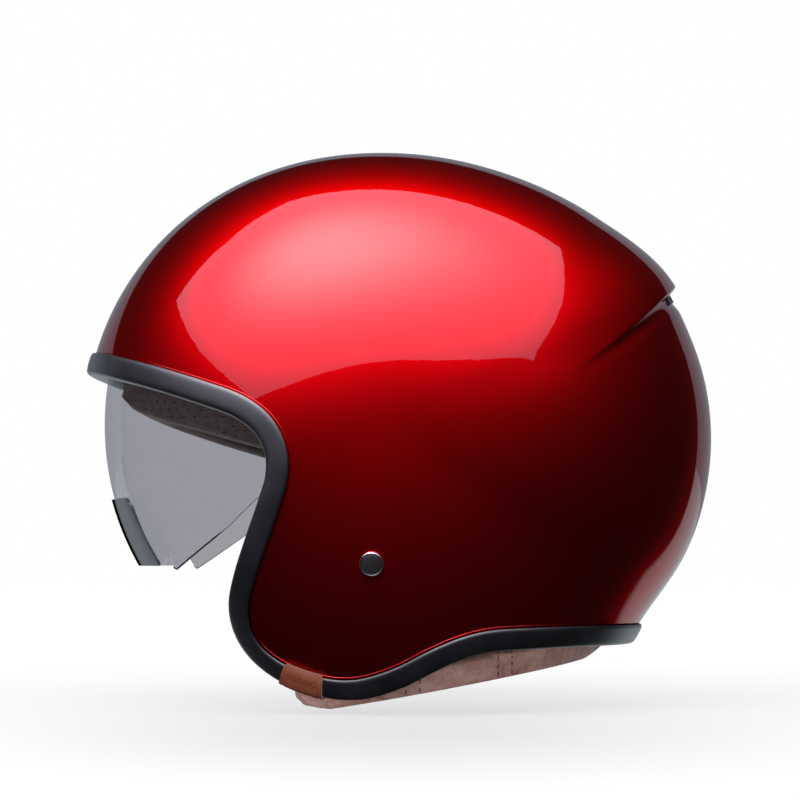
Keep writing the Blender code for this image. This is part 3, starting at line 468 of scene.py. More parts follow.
def candy_paint():
    """Red candy over metallic flakes, under a clear coat with a faint orange peel."""
    n = Nodes("candy_red_paint")
    flakes = n.cells(2600, output="Color")
    cloud = n.noise(34, 3)
    tone = n.steps(cloud, (0.35, (0.88, 0.0005, 0.0034)), (0.7, (0.96, 0.0009, 0.0048)))
    sparkle = n.steps(flakes, (0.0, (0.80, 0.0004, 0.003)), (1.0, (1.0, 0.0014, 0.006)))
    colour = n.blend(1.0, n.blend(0.35, tone, sparkle), candy_depth(n), "MULTIPLY")
    grain = n.bump(flakes, 0.05, 0.05 * MM)
    peel = n.bump(n.noise(330, 2), 0.09, 0.1 * MM)
    n.set(Base_Color=colour, Metallic=1.0, Roughness=PAINT_ROUGHNESS, Normal=grain)
    n.set(Specular_Tint=(0.8, 0.0, 0.01))
    n.set(Coat_Weight=1.0, Coat_Roughness=0.015, Coat_IOR=1.5, Coat_Normal=peel)
    return n.material


def rubber():
    """Satin black extruded rubber with a fine grain and dusty wear."""
    n = Nodes("black_rubber")
    dust = n.steps(n.noise(60, 6), (0.4, (0.003, 0.003, 0.004)), (0.75, (0.008, 0.008, 0.010)))
    grain = n.bump(n.noise(2400, 3), 0.2, 0.04 * MM)
    rough = n.steps(n.noise(90, 4), (0.3, 0.40), (0.8, 0.52))
    n.set(Base_Color=dust, Roughness=rough, Normal=grain, Specular_IOR_Level=1.0)
    n.set(Coat_Weight=1.0, Coat_Roughness=0.40, Coat_IOR=1.6)
    return n.material


def two_tone(name, grain, low, high, rough, bump, **more):
    """A look in two tones of one noise, with a bump of (height, strength, mm). Stops are (place, colour)."""
    n = Nodes(name)
    n.set(Base_Color=n.steps(n.noise(*grain), low, high), Roughness=rough, **more)
    height, strength, depth = bump
    n.set(Normal=n.bump(n.noise(*height), strength, depth * MM))
    return n.material


def moulded():
    """Moulded black plastic with a spark-eroded grain."""
    n = Nodes("black_plastic")
    tone = n.steps(n.noise(50, 5), (0.35, (0.008, 0.008, 0.009)), (0.75, (0.02, 0.02, 0.022)))
    wear = n.steps(n.noise(140, 6), (0.4, 0.34), (0.8, 0.5))
    n.set(Base_Color=tone, Roughness=wear, Normal=n.bump(n.cells(1500), 0.25, 0.06 * MM))
    return n.material


def metal(name, low, high, rough, brushed=0.0):
    """Plated or brushed steel, its brush marks drawn out along one way."""
    n = Nodes(name)
    stretch = n.add("ShaderNodeMapping", {"Vector": n.place(), "Scale": (1, 1, 12)}).outputs[0]
    marks = n.noise(700, 5, where=stretch)
    tone = n.steps(marks, (0.3, low), (0.7, high))
    spots = n.steps(n.noise(220, 6), (0.45, rough), (0.8, rough + 0.12))
    n.set(Base_Color=tone, Metallic=1.0, Roughness=spots)
    n.set(Normal=n.bump(marks, 0.05 + brushed, 0.03 * MM))
    return n.material


def foam():
    """Moulded polystyrene: packed beads, each a little different in tone."""
    n = Nodes("eps_foam")
    beads = n.cells(330, output="Color")
    edge = n.cells(330, feature="DISTANCE_TO_EDGE")
    tone = n.steps(beads, (0.2, (0.016, 0.016, 0.017)), (0.9, (0.034, 0.034, 0.036)))
    seam = n.steps(edge, (0.0, (0.006, 0.006, 0.006)), (0.12, (1.0, 1.0, 1.0)))
    n.set(Base_Color=n.blend(1.0, tone, seam, "MULTIPLY"), Roughness=0.75)
    n.set(Normal=n.bump(n.steps(edge, (0.0, 0.0), (0.25, 1.0)), 0.5, 0.3 * MM))
    return n.material


def split(n, vector):
    return n.add("ShaderNodeSeparateXYZ", {"Vector": vector}).outputs


def suede(name, curved):
    """Dark suede with rows of punched holes, set along the pad's own surface."""
    n = Nodes(name)
    x, y, z = split(n, n.place())
    if curved:
        turn = n.math("ARCTAN2", n.math("SUBTRACT", z, CENTRE[2]), n.math("SUBTRACT", x, CENTRE[0]))
        across, along = n.math("MULTIPLY", turn, HOLE_RADIUS), y
    else:
        across, along = x, z
    row = n.math("DIVIDE", across, HOLE_PITCH)
    odd = n.math("MULTIPLY", n.math("FLOORED_MODULO", n.math("FLOOR", row), 2.0), 0.5)
    column = n.math("ADD", n.math("DIVIDE", along, HOLE_PITCH), odd)
    offsets = [n.math("SUBTRACT", n.math("FRACT", side), 0.5) for side in (row, column)]
    reach = n.math("SQRT", n.math("ADD", *[n.math("MULTIPLY", side, side) for side in offsets]))
    punched = n.steps(reach, (0.10, 0.0), (0.155, 1.0))
    nap = n.noise(260, 8, 0.7)
    fibre = n.noise(2200, 4)
    tone = n.steps(nap, (0.3, (0.075, 0.056, 0.050)), (0.7, (0.140, 0.112, 0.100)))
    # The holes are painted dark: painted shade inside each hole, with the dark backing seen through it.
    colour = n.blend(1.0, tone, n.blend(punched, (0.06, 0.05, 0.05), (1.0, 1.0, 1.0)), "MULTIPLY")
    soft = n.bump(fibre, 0.5, 0.12 * MM)
    n.set(Base_Color=colour, Roughness=0.92, Sheen_Weight=0.35, Sheen_Roughness=0.45)
    n.set(Sheen_Tint=(0.75, 0.62, 0.55), Specular_IOR_Level=0.2)
    n.set(Normal=n.bump(punched, 0.9, 0.5 * MM, soft))
    return n.material


def distressed_leather():
    """Brown leatherette: pebbled grain, creases, and paler rubbed patches."""
    n = Nodes("brown_leatherette")
    wrinkle = n.noise(95, 10, 0.68, 1.4)
    pebble = n.cells(900)
    wave = {"Vector": n.place(), "Scale": 60.0, "Detail": 6.0}
    drift = n.add("ShaderNodeTexNoise", wave).outputs["Color"]
    drift = n.add("ShaderNodeVectorMath", {0: drift, 3: 0.022}, operation="SCALE").outputs[0]
    bent = n.add("ShaderNodeVectorMath", {0: n.place(), 1: drift}, operation="ADD").outputs[0]
    veins = n.steps(n.cells(150, feature="DISTANCE_TO_EDGE", where=bent), (0.0, 0.0), (0.14, 1.0))
    tone = n.steps(
        wrinkle, (0.25, (0.20, 0.100, 0.080)), (0.5, (0.36, 0.200, 0.165)), (0.78, (0.50, 0.315, 0.270)),
    )
    rubbed = n.blend(n.steps(n.noise(38, 6), (0.45, 0.0), (0.75, 0.55)), tone, (0.56, 0.38, 0.33))
    colour = n.blend(n.math("MULTIPLY", n.math("SUBTRACT", 1.0, veins), 0.22), rubbed, (0.1, 0.04, 0.03))
    height = n.math("ADD", n.math("MULTIPLY", wrinkle, 1.4), n.math("MULTIPLY", pebble, 0.5))
    height = n.math("ADD", height, n.math("MULTIPLY", veins, 0.5))
    n.set(Base_Color=colour, Roughness=n.steps(wrinkle, (0.3, 0.62), (0.7, 0.5)))
    n.set(Normal=n.bump(height, 0.55, 0.35 * MM), Specular_IOR_Level=0.4)
    return n.material


def tan_leather():
    """Vegetable-tanned strip: fine pores in a clouded tone."""
    n = Nodes("tan_leather")
    cloud = n.noise(120, 8, 0.65, 0.6)
    tone = n.steps(cloud, (0.3, (0.085, 0.020, 0.009)), (0.7, (0.155, 0.043, 0.021)))
    pores = n.steps(n.cells(1500), (0.05, 0.0), (0.4, 1.0))
    colour = n.blend(0.35, tone, n.blend(pores, (0.06, 0.014, 0.007), (0.16, 0.048, 0.024)))
    height = n.math("ADD", n.math("MULTIPLY", cloud, 0.8), n.math("MULTIPLY", pores, 0.4))
    n.set(Base_Color=colour, Roughness=0.52, Normal=n.bump(height, 0.4, 0.2 * MM))
    return n.material


def webbing():
    """Woven nylon: ribs across and a twill of yarns along."""
    n = Nodes("black_webbing")
    x, _, z = split(n, n.place())
    ribs = n.math("SINE", n.math("MULTIPLY", z, 2 * pi / (1.3 * MM)))
    slant = n.math("ADD", n.math("MULTIPLY", z, 0.7), x)
    yarns = n.math("SINE", n.math("MULTIPLY", slant, 2 * pi / (0.75 * MM)))
    weave = n.math("ADD", n.math("MULTIPLY", ribs, 0.5), n.math("MULTIPLY", yarns, 0.5))
    height = n.math("MULTIPLY_ADD", weave, 0.5, 0.5)
    fuzz = n.noise(1500, 5)
    # Painted shade: the weave's colour is darker where its height is low, in the grooves.
    tone = n.steps(height, (0.2, (0.006, 0.006, 0.007)), (0.8, (0.035, 0.035, 0.038)))
    colour = n.blend(n.math("MULTIPLY", fuzz, 0.25), tone, (0.06, 0.06, 0.065))
    n.set(Base_Color=colour, Roughness=0.72, Normal=n.bump(height, 0.8, 0.3 * MM))
    return n.material


def thread(name, low, high):
    n = Nodes(name)
    twist = n.noise(3000, 2)
    n.set(Base_Color=n.steps(twist, (0.3, low), (0.7, high)), Roughness=0.7)
    n.set(Normal=n.bump(twist, 0.5, 0.05 * MM))
    return n.material


def clear_visor():
    """Light grey polycarbonate. Only the first layer that a view ray meets tints what is behind."""
    n = Nodes("clear_polycarbonate")
    path = n.add("ShaderNodeLightPath").outputs
    first = n.math("LESS_THAN", path["Transparent Depth"], 0.5)
    first = n.math("MULTIPLY", first, path["Is Camera Ray"])
    tint = n.blend(first, (0.97, 0.97, 0.98), VISOR_TINT)
    through = n.add("ShaderNodeBsdfTransparent", {"Color": tint})
    scratches = n.bump(n.noise(900, 6), 0.02, 0.02 * MM)
    shine = n.add("ShaderNodeBsdfGlossy", {"Roughness": 0.03, "Normal": scratches})
    fresnel = n.add("ShaderNodeFresnel", {"IOR": 1.35}).outputs[0]
    shown = n.math("MULTIPLY", n.math("MINIMUM", fresnel, 0.5), first)
    mixed = n.add("ShaderNodeMixShader", {0: shown, 1: through.outputs[0], 2: shine.outputs[0]})
    return n.surface(mixed)


def smoked_visor():
    """The lip: a steel-grey gloss in front, painted black round its outline as painted shade, clear where it
    lies behind the visor.
    """
    n = Nodes("smoked_polycarbonate")
    streak = n.steps(n.noise(200, 5), (0.35, (0.027, 0.032, 0.040)), (0.7, (0.040, 0.047, 0.058)))
    # Painted shade: colour and gloss fall to black towards the lip's outline, where it turns away from the
    # ray.
    rim = n.steps(facing(n), (0.14, 0.0), (0.30, 1.0))
    n.set(Base_Color=n.blend(1.0, streak, rim, "MULTIPLY"), Roughness=0.2)
    n.set(Specular_IOR_Level=n.math("MULTIPLY", rim, 0.3), Coat_Weight=n.math("MULTIPLY", rim, 0.12))
    n.set(Coat_Roughness=0.05)
    n.set(Normal=n.bump(n.noise(500, 4), 0.03, 0.03 * MM))
    behind = n.math("GREATER_THAN", n.add("ShaderNodeLightPath").outputs["Transparent Depth"], 0.5)
    clear = n.add("ShaderNodeBsdfTransparent", {"Color": (0.985, 0.985, 0.99)})
    mixed = n.add("ShaderNodeMixShader", {0: behind, 1: n.shader.outputs[0], 2: clear.outputs[0]})
    return n.surface(mixed)


PAINT_ROUGHNESS, CANDY_STRENGTH = 0.37, 0.25
VISOR_TINT = (0.345, 0.345, 0.375)
HOLE_PITCH, HOLE_RADIUS = 4.1 * MM, 118 * MM
PAINT, RUBBER, FOAM = candy_paint(), rubber(), foam()
NYLON = two_tone("white_nylon", (180, 5), (0.3, (0.62, 0.61, 0.57)), (0.8, (0.74, 0.73, 0.70)), 0.45,
                 ((900, 4), 0.15, 0.05), Subsurface_Weight=0.1)
ABS_BLACK = moulded()
CHROME = metal("chrome", (0.62, 0.62, 0.62), (0.82, 0.82, 0.8), 0.30)
STEEL = metal("zinc_steel", (0.42, 0.43, 0.45), (0.6, 0.6, 0.6), 0.28, 0.1)
SUEDE, CHEEK_SUEDE = suede("perforated_suede", True), suede("perforated_suede_cheek", False)
LEATHERETTE, TAN, WEB = distressed_leather(), tan_leather(), webbing()
RAW_EDGE = two_tone("raw_leather_edge", (900, 6), (0.3, (0.34, 0.22, 0.19)), (0.7, (0.52, 0.38, 0.34)), 0.8,
                    ((2500, 4), 0.5, 0.1))
BROWN_THREAD = thread("brown_thread", (0.05, 0.02, 0.014), (0.1, 0.045, 0.03))
DARK_THREAD = thread("dark_thread", (0.02, 0.014, 0.012), (0.05, 0.036, 0.03))
CLEAR, SMOKE = clear_visor(), smoked_visor()
# The visor's sawn and flamed edge, and the thin dark line along it: both painted dark, as the shade seen in
# the clear edge.
EDGE_GLASS = two_tone("visor_edge", (500, 4), (0.3, (0.03, 0.026, 0.022)), (0.8, (0.11, 0.10, 0.095)), 0.25,
                      ((1200, 4), 0.1, 0.05), Alpha=0.75)
EDGE_SHADE_LINE = two_tone("visor_edge_shade_line", (600, 4), (0.3, (0.020, 0.015, 0.012)), (0.8, (0.060, 0.048, 0.040)),
                     0.35, ((1500, 3), 0.1, 0.03))


# ---------------------------------------------------------------- outer shell
def shell_angles():
    """Degrees round the helmet, gathered at the kick's crease."""
    fine = [-7, -5.6, -4.6, -3.9, -3.3, -2.7, -2.2, -1.8, -1.4, -1.0, -0.7, -0.4, -0.15, 0.1]
    fine += [0.35, 0.7, 1.2, 1.9, 2.8, 4, 5.4]
    near = [KICK_ANGLE + step for step in fine]
    coarse = [a for a in np.arange(0, 360, 1.4) if not near[0] - 0.6 < a < near[-1] + 0.6]
    return np.array(sorted(near + coarse))


EDGE_BEAD = ((-6.0, -0.4), (-5.9, 0.0), (-5.75, 0.07), (-5.5, 0.07), (-5.25, 0.0), (-5.0, -0.5))
CUT = 0.6 * MM


def make_shell():
    latitudes = np.linspace(-89.85, 89.85, 163)
    angle, latitude = np.meshgrid(shell_angles(), latitudes)
    shift = crease_angle(np.minimum(np.abs(latitude), 60)) - KICK_ANGLE
    turn = (angle + 180) % 360 - 180
    angle = turn + shift * ramp(turn, -45, 15) * (1 - ramp(turn, 35, 80))
    points = skin(angle, latitude, 0.0, kick(angle, latitude))
    rows, columns = points.shape[:2]
    flat = points.reshape(-1, 3)
    faces = grid_faces(rows, columns, False, True)
    centres = flat[faces].mean(axis=1)
    keep = ~inside_outline(centres[:, 0], centres[:, 2], opening_outline(CUT))
    kept = faces[keep]
    loop, free, _ = EDGE_FRAMES
    rim = loop + free * CUT
    for i in np.intersect1d(np.unique(kept), np.unique(faces[~keep])):
        flat[i] = rim[np.argmin(((rim - flat[i]) ** 2).sum(axis=1))]
    caps = [list(range(columns)), list(range((rows - 1) * columns, rows * columns))]
    mesh = mesh_from("outer_shell", flat, [list(f) for f in kept] + caps)
    shell = new_piece("painted_shell", mesh, PAINT, replaces=["outer_shell"])
    mesh.materials.append(ABS_BLACK)
    wall = shell.modifiers.new("wall", "SOLIDIFY")
    wall.thickness, wall.offset = SHELL_WALL, -1
    wall.material_offset = wall.material_offset_rim = 1
    apply_modifiers(shell)
    bm = bmesh.new()
    bm.from_mesh(shell.data)
    bm.from_mesh(sweep("bead", rounded(EDGE_BEAD, 1), EDGE_FRAMES, sharp=180))
    bm.to_mesh(shell.data)
    bm.free()
    smooth(shell.data, 40)


# ---------------------------------------------------------------- edge trim and its leather tab
TRIM_SECTION = (
    (-5.2, 0.5), (-5.0, 1.4), (-3.9, 2.0), (-0.4, 2.25), (3.0, 2.2), (4.5, 1.5), (5.15, -0.4),
    (5.2, -2.8), (4.6, -4.8), (3.6, -5.9), (1.8, -6.3), (-4.6, -6.3), (-4.6, -5.2), (1.8, -5.2),
    (1.8, 0.5),
)
TAB_OUTER = (
    (-6.8, 0.7), (-6.2, 1.9), (-3.4, 3.35), (0.0, 3.6), (3.3, 3.3), (5.9, 1.2), (6.5, -1.6),
    (6.0, -4.6), (4.4, -6.9), (1.8, -7.8), (-1.6, -7.8),
)
TAB_THICKNESS, TAB_CORNER = 1.1 * MM, 2.2 * MM
TAB_HALF_LENGTH, TAB_SHIFT = 9.4 * MM, 2.6 * MM
BORDER_INSET, BORDER_WIDTH, BORDER_DEPTH = 1.5 * MM, 0.28 * MM, 0.2 * MM
MARK_PITCH, MARK_MIDDLE, MARK_HALF_LENGTH, MARK_DEPTH = 2.9 * MM, 6.2 * MM, 6.6 * MM, 0.42 * MM


def make_trim():
    mesh = sweep("edge_trim", rounded(TRIM_SECTION, 2), EDGE_FRAMES, closed=True, sharp=60)
    new_piece("rubber_trim", mesh, RUBBER, replaces=["edge_trim"])


def pressed_mark(along, wrapped, half_length, span):
    """Depth of the tab's pressed pattern: a border line and a row of lozenges."""
    inset = np.minimum(half_length - np.abs(along), np.minimum(wrapped, span - wrapped))
    border = np.exp(-(((inset - BORDER_INSET) / BORDER_WIDTH) ** 2))
    s = (along / MARK_PITCH + 0.5) % 1.0 - 0.5
    w = (wrapped - MARK_MIDDLE) / MARK_PITCH
    lozenge = np.abs(np.abs(s) + np.abs(w) * 0.62 - 0.36)
    inside = (np.abs(along) < MARK_HALF_LENGTH) & (np.abs(w) < 0.75)
    return -BORDER_DEPTH * border - MARK_DEPTH * np.exp(-((lozenge / 0.085) ** 2)) * inside


def make_tab():
    """A leather strip folded over the trim at the left jaw, in the space the CAD gives it."""
    low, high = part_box("leather_tab")
    points, free, normal = EDGE_FRAMES
    start = int(np.argmin(np.linalg.norm(points - np.array((low + high) / 2), axis=1)))
    travel = np.linalg.norm(points[start + 1] - points[start])
    offsets = np.linspace(-TAB_HALF_LENGTH, TAB_HALF_LENGTH, 73)
    rearward = np.sign(points[start + 1][0] - points[start][0])
    where = start + (offsets + TAB_SHIFT * rearward) / travel
    stations = [np.stack([np.interp(where, range(len(a)), a[:, i]) for i in range(3)], -1)
                for a in (points, free, normal)]
    wrap = even_line(smooth_line(np.array(TAB_OUTER) * MM, 12), 90)
    span = np.linalg.norm(np.diff(wrap, axis=0), axis=1).sum()
    shares = np.linspace(0, 1, 61)
    near_end = np.clip(TAB_CORNER - (TAB_HALF_LENGTH - np.abs(offsets)), 0, TAB_CORNER)
    trimmed = (TAB_CORNER - np.sqrt(TAB_CORNER**2 - near_end**2)) / span
    bend = np.gradient(wrap, axis=0)
    bend /= np.linalg.norm(bend, axis=1, keepdims=True)
    inwards = np.stack((bend[:, 1], -bend[:, 0]), axis=-1)
    layers = []
    for depth in (0.0, TAB_THICKNESS):
        line = wrap + inwards * depth
        sheet = []
        for i, offset in enumerate(offsets):
            t = trimmed[i] + shares * (1 - 2 * trimmed[i])
            flat = np.stack([np.interp(t * 90, range(91), line[:, k]) for k in range(2)], -1)
            if depth == 0.0:
                way = np.stack([np.interp(t * 90, range(91), inwards[:, k]) for k in range(2)], -1)
                flat = flat + way * -pressed_mark(offset, t * span, TAB_HALF_LENGTH, span)[:, None]
            base, side, out = (a[i] for a in stations)
            sheet.append(base + side * flat[:, :1] + out * flat[:, 1:])
        layers.append(sheet)
    rings = []
    for outer, inner in zip(*layers):
        rings.append(np.vstack((outer, inner[::-1])))
    mesh = loft("tab", rings, sharp=50)
    new_piece("leather_tab_fold", mesh, TAN, replaces=["leather_tab"])
    mesh.materials.append(RAW_EDGE)
    count = len(shares)
    for face in mesh.polygons:
        columns = sorted({i % (2 * count) for i in face.vertices})
        if len(face.vertices) > 4 or columns in ([count - 1, count], [0, 2 * count - 1]):
            face.material_index = 1


# ---------------------------------------------------------------- visor
VISOR_CENTRE = (-6.4 * MM, 127.1 * MM)
VISOR_RADIUS, VISOR_HALF_WIDTH, VISOR_WALL = 128.8 * MM, 109.0 * MM, 2.0 * MM
VISOR_BOSS = 11.0 * MM
LIP_HALF_WIDTH, LIP_HEIGHT = 51.0 * MM, 1.35 * MM
LIP_SPAN, LIP_CORNERS = (62.4 * MM, 92.2 * MM), (2.5 * MM, 4.5 * MM)
JOINTS = {joint["name"]: joint for joint in frame["joints"]}
PIVOT_X, _, PIVOT_Z = JOINTS["visor_lift"]["pos_m"]


def visor_skin(name, proud, turns=200, rows=100):
    """A closed skin of the visor, proud of its outer face by a length."""
    latitude = np.linspace(-89, 89, rows)[:, None]
    turn = np.linspace(0, 2 * pi, turns, endpoint=False)[None, :]
    along = np.cos(np.radians(latitude)) ** (2 / ROUNDNESS)
    across = share_of(1 - part_of(along)) * np.sign(latitude)
    radius = (VISOR_RADIUS + proud) * along
    x = VISOR_CENTRE[0] + radius * np.cos(turn)
    z = VISOR_CENTRE[1] + radius * np.sin(turn)
    y = (VISOR_HALF_WIDTH + proud) * across + 0 * turn
    return loft(name, np.stack((x, y, z), axis=-1))


def visor_outline():
    """The visor in side view: arms to the round bosses, and the lower edge with its lobes."""
    outline = [(-150, 62), (-103.5, 62.6), (-101.5, 66.5), (-97.6, 60.6), (-73, 79.2)]
    outline += [(-61.3, 90.3), (-40, 102.5)]
    for step in range(25):
        turn = radians(-120 + 230 * step / 24)
        x = (PIVOT_X + VISOR_BOSS * cos(turn)) / MM
        outline.append((x, (PIVOT_Z + VISOR_BOSS * sin(turn)) / MM))
    outline += [(-46, 139), (-80, 149.5), (-110, 155), (-130, 156.4), (-150, 156.4)]
    return np.array(outline) * MM


def lip_block():
    """The lip's outline seen from the front: a long band with round corners."""
    low, high = LIP_SPAN
    outline = []
    for sy, sz, first in ((1, -1, -90), (1, 1, 0), (-1, 1, 90), (-1, -1, 180)):
        radius = LIP_CORNERS[0] if sz < 0 else LIP_CORNERS[1]
        middle_z = low + radius if sz < 0 else high - radius
        for turn in np.radians(np.linspace(first, first + 90, 9)):
            y = sy * (LIP_HALF_WIDTH - radius) + radius * cos(turn)
            outline.append((0.0, y, middle_z + radius * sin(turn)))
    ring = np.array(outline)
    return loft("lip_block", [ring - (0.15, 0, 0), ring - (0.06, 0, 0)])


def make_visor():
    mesh = boolean(visor_skin("visor", 0.0), prism("v1", visor_outline()), "INTERSECT")
    mesh = boolean(mesh, visor_skin("v2", -VISOR_WALL))
    visor = new_piece("clear_visor", mesh, CLEAR, "visor", ["visor"])
    mesh.materials.append(EDGE_GLASS)
    mark_edges(visor)
    lip = boolean(visor_skin("lip", LIP_HEIGHT, 160, 80), lip_block(), "INTERSECT")
    lip = boolean(lip, visor_skin("v4", 0.35 * MM, 160, 80))
    piece = new_piece("pull_lip", lip, SMOKE, "visor", ["visor_pull_lip"])
    soften = piece.modifiers.new("soften", "BEVEL")
    soften.width, soften.segments, soften.limit_method = 0.3 * MM, 2, "ANGLE"
    soften.angle_limit = radians(50)
    apply_modifiers(piece)


# The lower edge from the lip's end to the arm: a thick line of painted shade first, then a fine one.
LOWER_EDGE = (
    (-99.0, 61.9), (-97.6, 61.0), (-96.2, 61.9), (-73, 79.3), (-61.3, 90.4), (-40, 102.6), (-27, 112.5),
)
EDGE_THICK, EDGE_FINE, EDGE_CHANGE = (0.40 * MM, 0.16 * MM), 0.13 * MM, -77.0 * MM


def visor_half_width_at(x, z):
    reach = np.hypot(x - VISOR_CENTRE[0], z - VISOR_CENTRE[1]) / VISOR_RADIUS
    return VISOR_HALF_WIDTH * share_of(1 - part_of(np.minimum(reach, 1.0)))


def make_visor_edges():
    line = even_line(np.array(LOWER_EDGE) * MM, 170)
    width = visor_half_width_at(line[:, 0], line[:, 1]) - VISOR_WALL / 2
    fine = ramp(line[:, 0], EDGE_CHANGE - 3 * MM, EDGE_CHANGE + 3 * MM)
    # Painted shade: dark cords along the clear edge, thicker on the left side than on the right.
    for side, sign, thick in (("left", -1, EDGE_THICK[0]), ("right", 1, EDGE_THICK[1])):
        radius = (thick + (EDGE_FINE - thick) * fine)[:, None, None]
        path = np.stack((line[:, 0], sign * width, line[:, 1]), axis=-1)
        tube(f"visor_edge_{side}", path, radius, EDGE_SHADE_LINE, "visor")


def mark_edges(visor):
    """Gives the faces of the visor's cut edge their own material."""
    centre = Vector((VISOR_CENTRE[0], 0, VISOR_CENTRE[1]))
    for face in visor.data.polygons:
        offset = face.center - centre
        radial = Vector((offset.x / VISOR_RADIUS**2, offset.y / VISOR_HALF_WIDTH**2,
                         offset.z / VISOR_RADIUS**2)).normalized()
        face.material_index = 1 if abs(face.normal.dot(radial)) < 0.75 else 0


# ---------------------------------------------------------------- soft goods
def surface_tree(piece):
    bm = bmesh.new()
    bm.from_mesh(piece.data)
    tree = BVHTree.FromBMesh(bm)
    bm.free()
    return tree


def laid_on(tree, points, lift=0.0):
    """Points moved to the nearest place of a surface, and the normals there."""
    places, normals = [], []
    for point in points:
        place, normal, _, _ = tree.find_nearest(Vector(point))
        places.append(place + normal * lift)
        normals.append(normal)
    return np.array(places), np.array(normals)


CLOTH_FRAMES, CLOTH_PRESSURE, CLOTH_STIFFNESS, CLOTH_MASS = 20, 4.0, 12, 0.25


def blown_up(name, node, look, voxel, shrink, swell, flat=None, levels=1):
    """A CAD soft solid remeshed, taken in, and filled out by a cloth simulation."""
    mesh = frame["nodes"][node].data.copy()
    mesh.name = name
    piece = new_piece(name, mesh, look, replaces=[node])
    bpy.context.view_layer.objects.active = piece
    remesh = piece.modifiers.new("remesh", "REMESH")
    remesh.mode, remesh.voxel_size = "VOXEL", voxel * MM
    apply_modifiers(piece)
    mesh = piece.data
    mesh.shade_smooth()
    points, normals = read(mesh, True)
    start = points - normals * shrink * MM
    write(mesh, start)
    cloth = piece.modifiers.new("cloth", "CLOTH")
    cloth.settings.quality = 6
    cloth.settings.mass = CLOTH_MASS
    cloth.settings.tension_stiffness = cloth.settings.compression_stiffness = CLOTH_STIFFNESS
    cloth.settings.use_pressure = True
    cloth.settings.uniform_pressure_force = CLOTH_PRESSURE
    cloth.settings.effector_weights.gravity = 0
    cloth.point_cache.frame_start, cloth.point_cache.frame_end = 1, CLOTH_FRAMES
    for step in range(1, CLOTH_FRAMES + 1):
        bpy.context.scene.frame_set(step)
    apply_modifiers(piece)
    bpy.context.scene.frame_set(1)
    mesh = piece.data
    moved = read(mesh) - start
    reach = np.linalg.norm(moved, axis=1, keepdims=True)
    moved *= np.minimum(1.0, swell * MM / np.maximum(reach, 1e-9))
    shaped = start + moved
    if flat is not None:
        shaped = flat(shaped)
    write(mesh, shaped)
    relax = piece.modifiers.new("relax", "SMOOTH")
    relax.iterations, relax.factor = 3, 0.5
    rounder = piece.modifiers.new("rounder", "SUBSURF")
    rounder.levels = rounder.render_levels = levels
    apply_modifiers(piece)
    piece.data.materials.clear()
    piece.data.materials.append(look)
    piece.data.shade_smooth()
    return piece


def sew(piece, seams, depth=0.9, width=1.6):
    """Pulls a pad in along seams. Each seam gives signed distances of points from it."""
    points, normals = read(piece.data, True)
    pull = np.zeros(len(points))
    for seam in seams:
        pull = np.maximum(pull, np.exp(-((seam(points) / (width * MM)) ** 2)))
    write(piece.data, points - normals * (pull * depth * MM)[:, None])


def tube(name, path, radius, look, body="helmet", closed=False, sides=10):
    """A round cord along a path."""
    path = np.asarray(path, float)
    count = len(path)
    following = np.roll(path, -1, axis=0) if closed else np.vstack((path[1:], 2 * path[-1] - path[-2]))
    before = np.roll(path, 1, axis=0) if closed else np.vstack((2 * path[0] - path[1], path[:-1]))
    tangent = following - before
    tangent /= np.linalg.norm(tangent, axis=1, keepdims=True)
    up = np.zeros((count, 3))
    side = np.cross(tangent[0], (0.3, 0.5, 0.8))
    for i in range(count):
        side = side - tangent[i] * (side @ tangent[i])
        side /= np.linalg.norm(side)
        up[i] = side
    across = np.cross(tangent, up)
    across /= np.linalg.norm(across, axis=1, keepdims=True)
    turns = np.linspace(0, 2 * pi, sides, endpoint=False)
    ring = np.cos(turns)[None, :, None] * across[:, None] + np.sin(turns)[None, :, None] * up[:, None]
    mesh = loft(name, path[:, None] + ring * radius, closed, 60)
    return new_piece(name, mesh, look, body)


# A stitch's thickness along it, as (place from 0 to 1, share of the full radius).
STITCH_FORM = ((0.0, 0.35), (0.12, 0.85), (0.35, 1.0), (0.65, 1.0), (0.88, 0.85), (1.0, 0.35))
STITCH_SIDES = 8


def stitches(name, piece, path, look, body="helmet", length=2.3, gap=1.1, radius=0.3):
    """A row of thread stitches along a path laid on a piece."""
    tree = surface_tree(piece)
    pitch = (length + gap) * MM
    travel = np.linalg.norm(np.diff(path, axis=0), axis=1).sum()
    line = even_line(np.asarray(path), max(2, int(travel / pitch)) * 4)
    places, normals = laid_on(tree, line, 0.12 * MM)
    points, faces = [], []
    turns = np.linspace(0, 2 * pi, STITCH_SIDES, endpoint=False)
    for i in range(0, len(places) - 3, 4):
        a, b, up = places[i], places[i + 3], normals[i + 1]
        along = b - a
        size = np.linalg.norm(along)
        if size < 0.2 * MM:
            continue
        along = along / size
        b = a + along * min(size, length * MM)
        side = np.cross(along, up)
        base = len(points)
        for t, share in STITCH_FORM:
            middle = a + (b - a) * t + up * (sin(pi * t) - 0.7) * 0.16 * MM
            for turn in turns:
                points.append(middle + (side * cos(turn) + up * sin(turn) * 0.8) * radius * share * MM)
        faces += list(grid_faces(len(STITCH_FORM), STITCH_SIDES, False, True) + base)
        faces += [base + np.arange(STITCH_SIDES), len(points) - 1 - np.arange(STITCH_SIDES)]
    return new_piece(name, mesh_from(name, points, faces, 60), look, body)


REST_X, REST_SLOPE = -34.0 * MM, 0.185
SETTLE_REACH, SETTLE_MORE = 12.0 * MM, 2.0 * MM


def on_rest_plane(points):
    """Keeps points above the plane the helmet stands on."""
    floor = np.maximum((points[:, 0] - REST_X) * REST_SLOPE, 0.0)
    points[:, 2] = np.maximum(points[:, 2], floor)
    return points


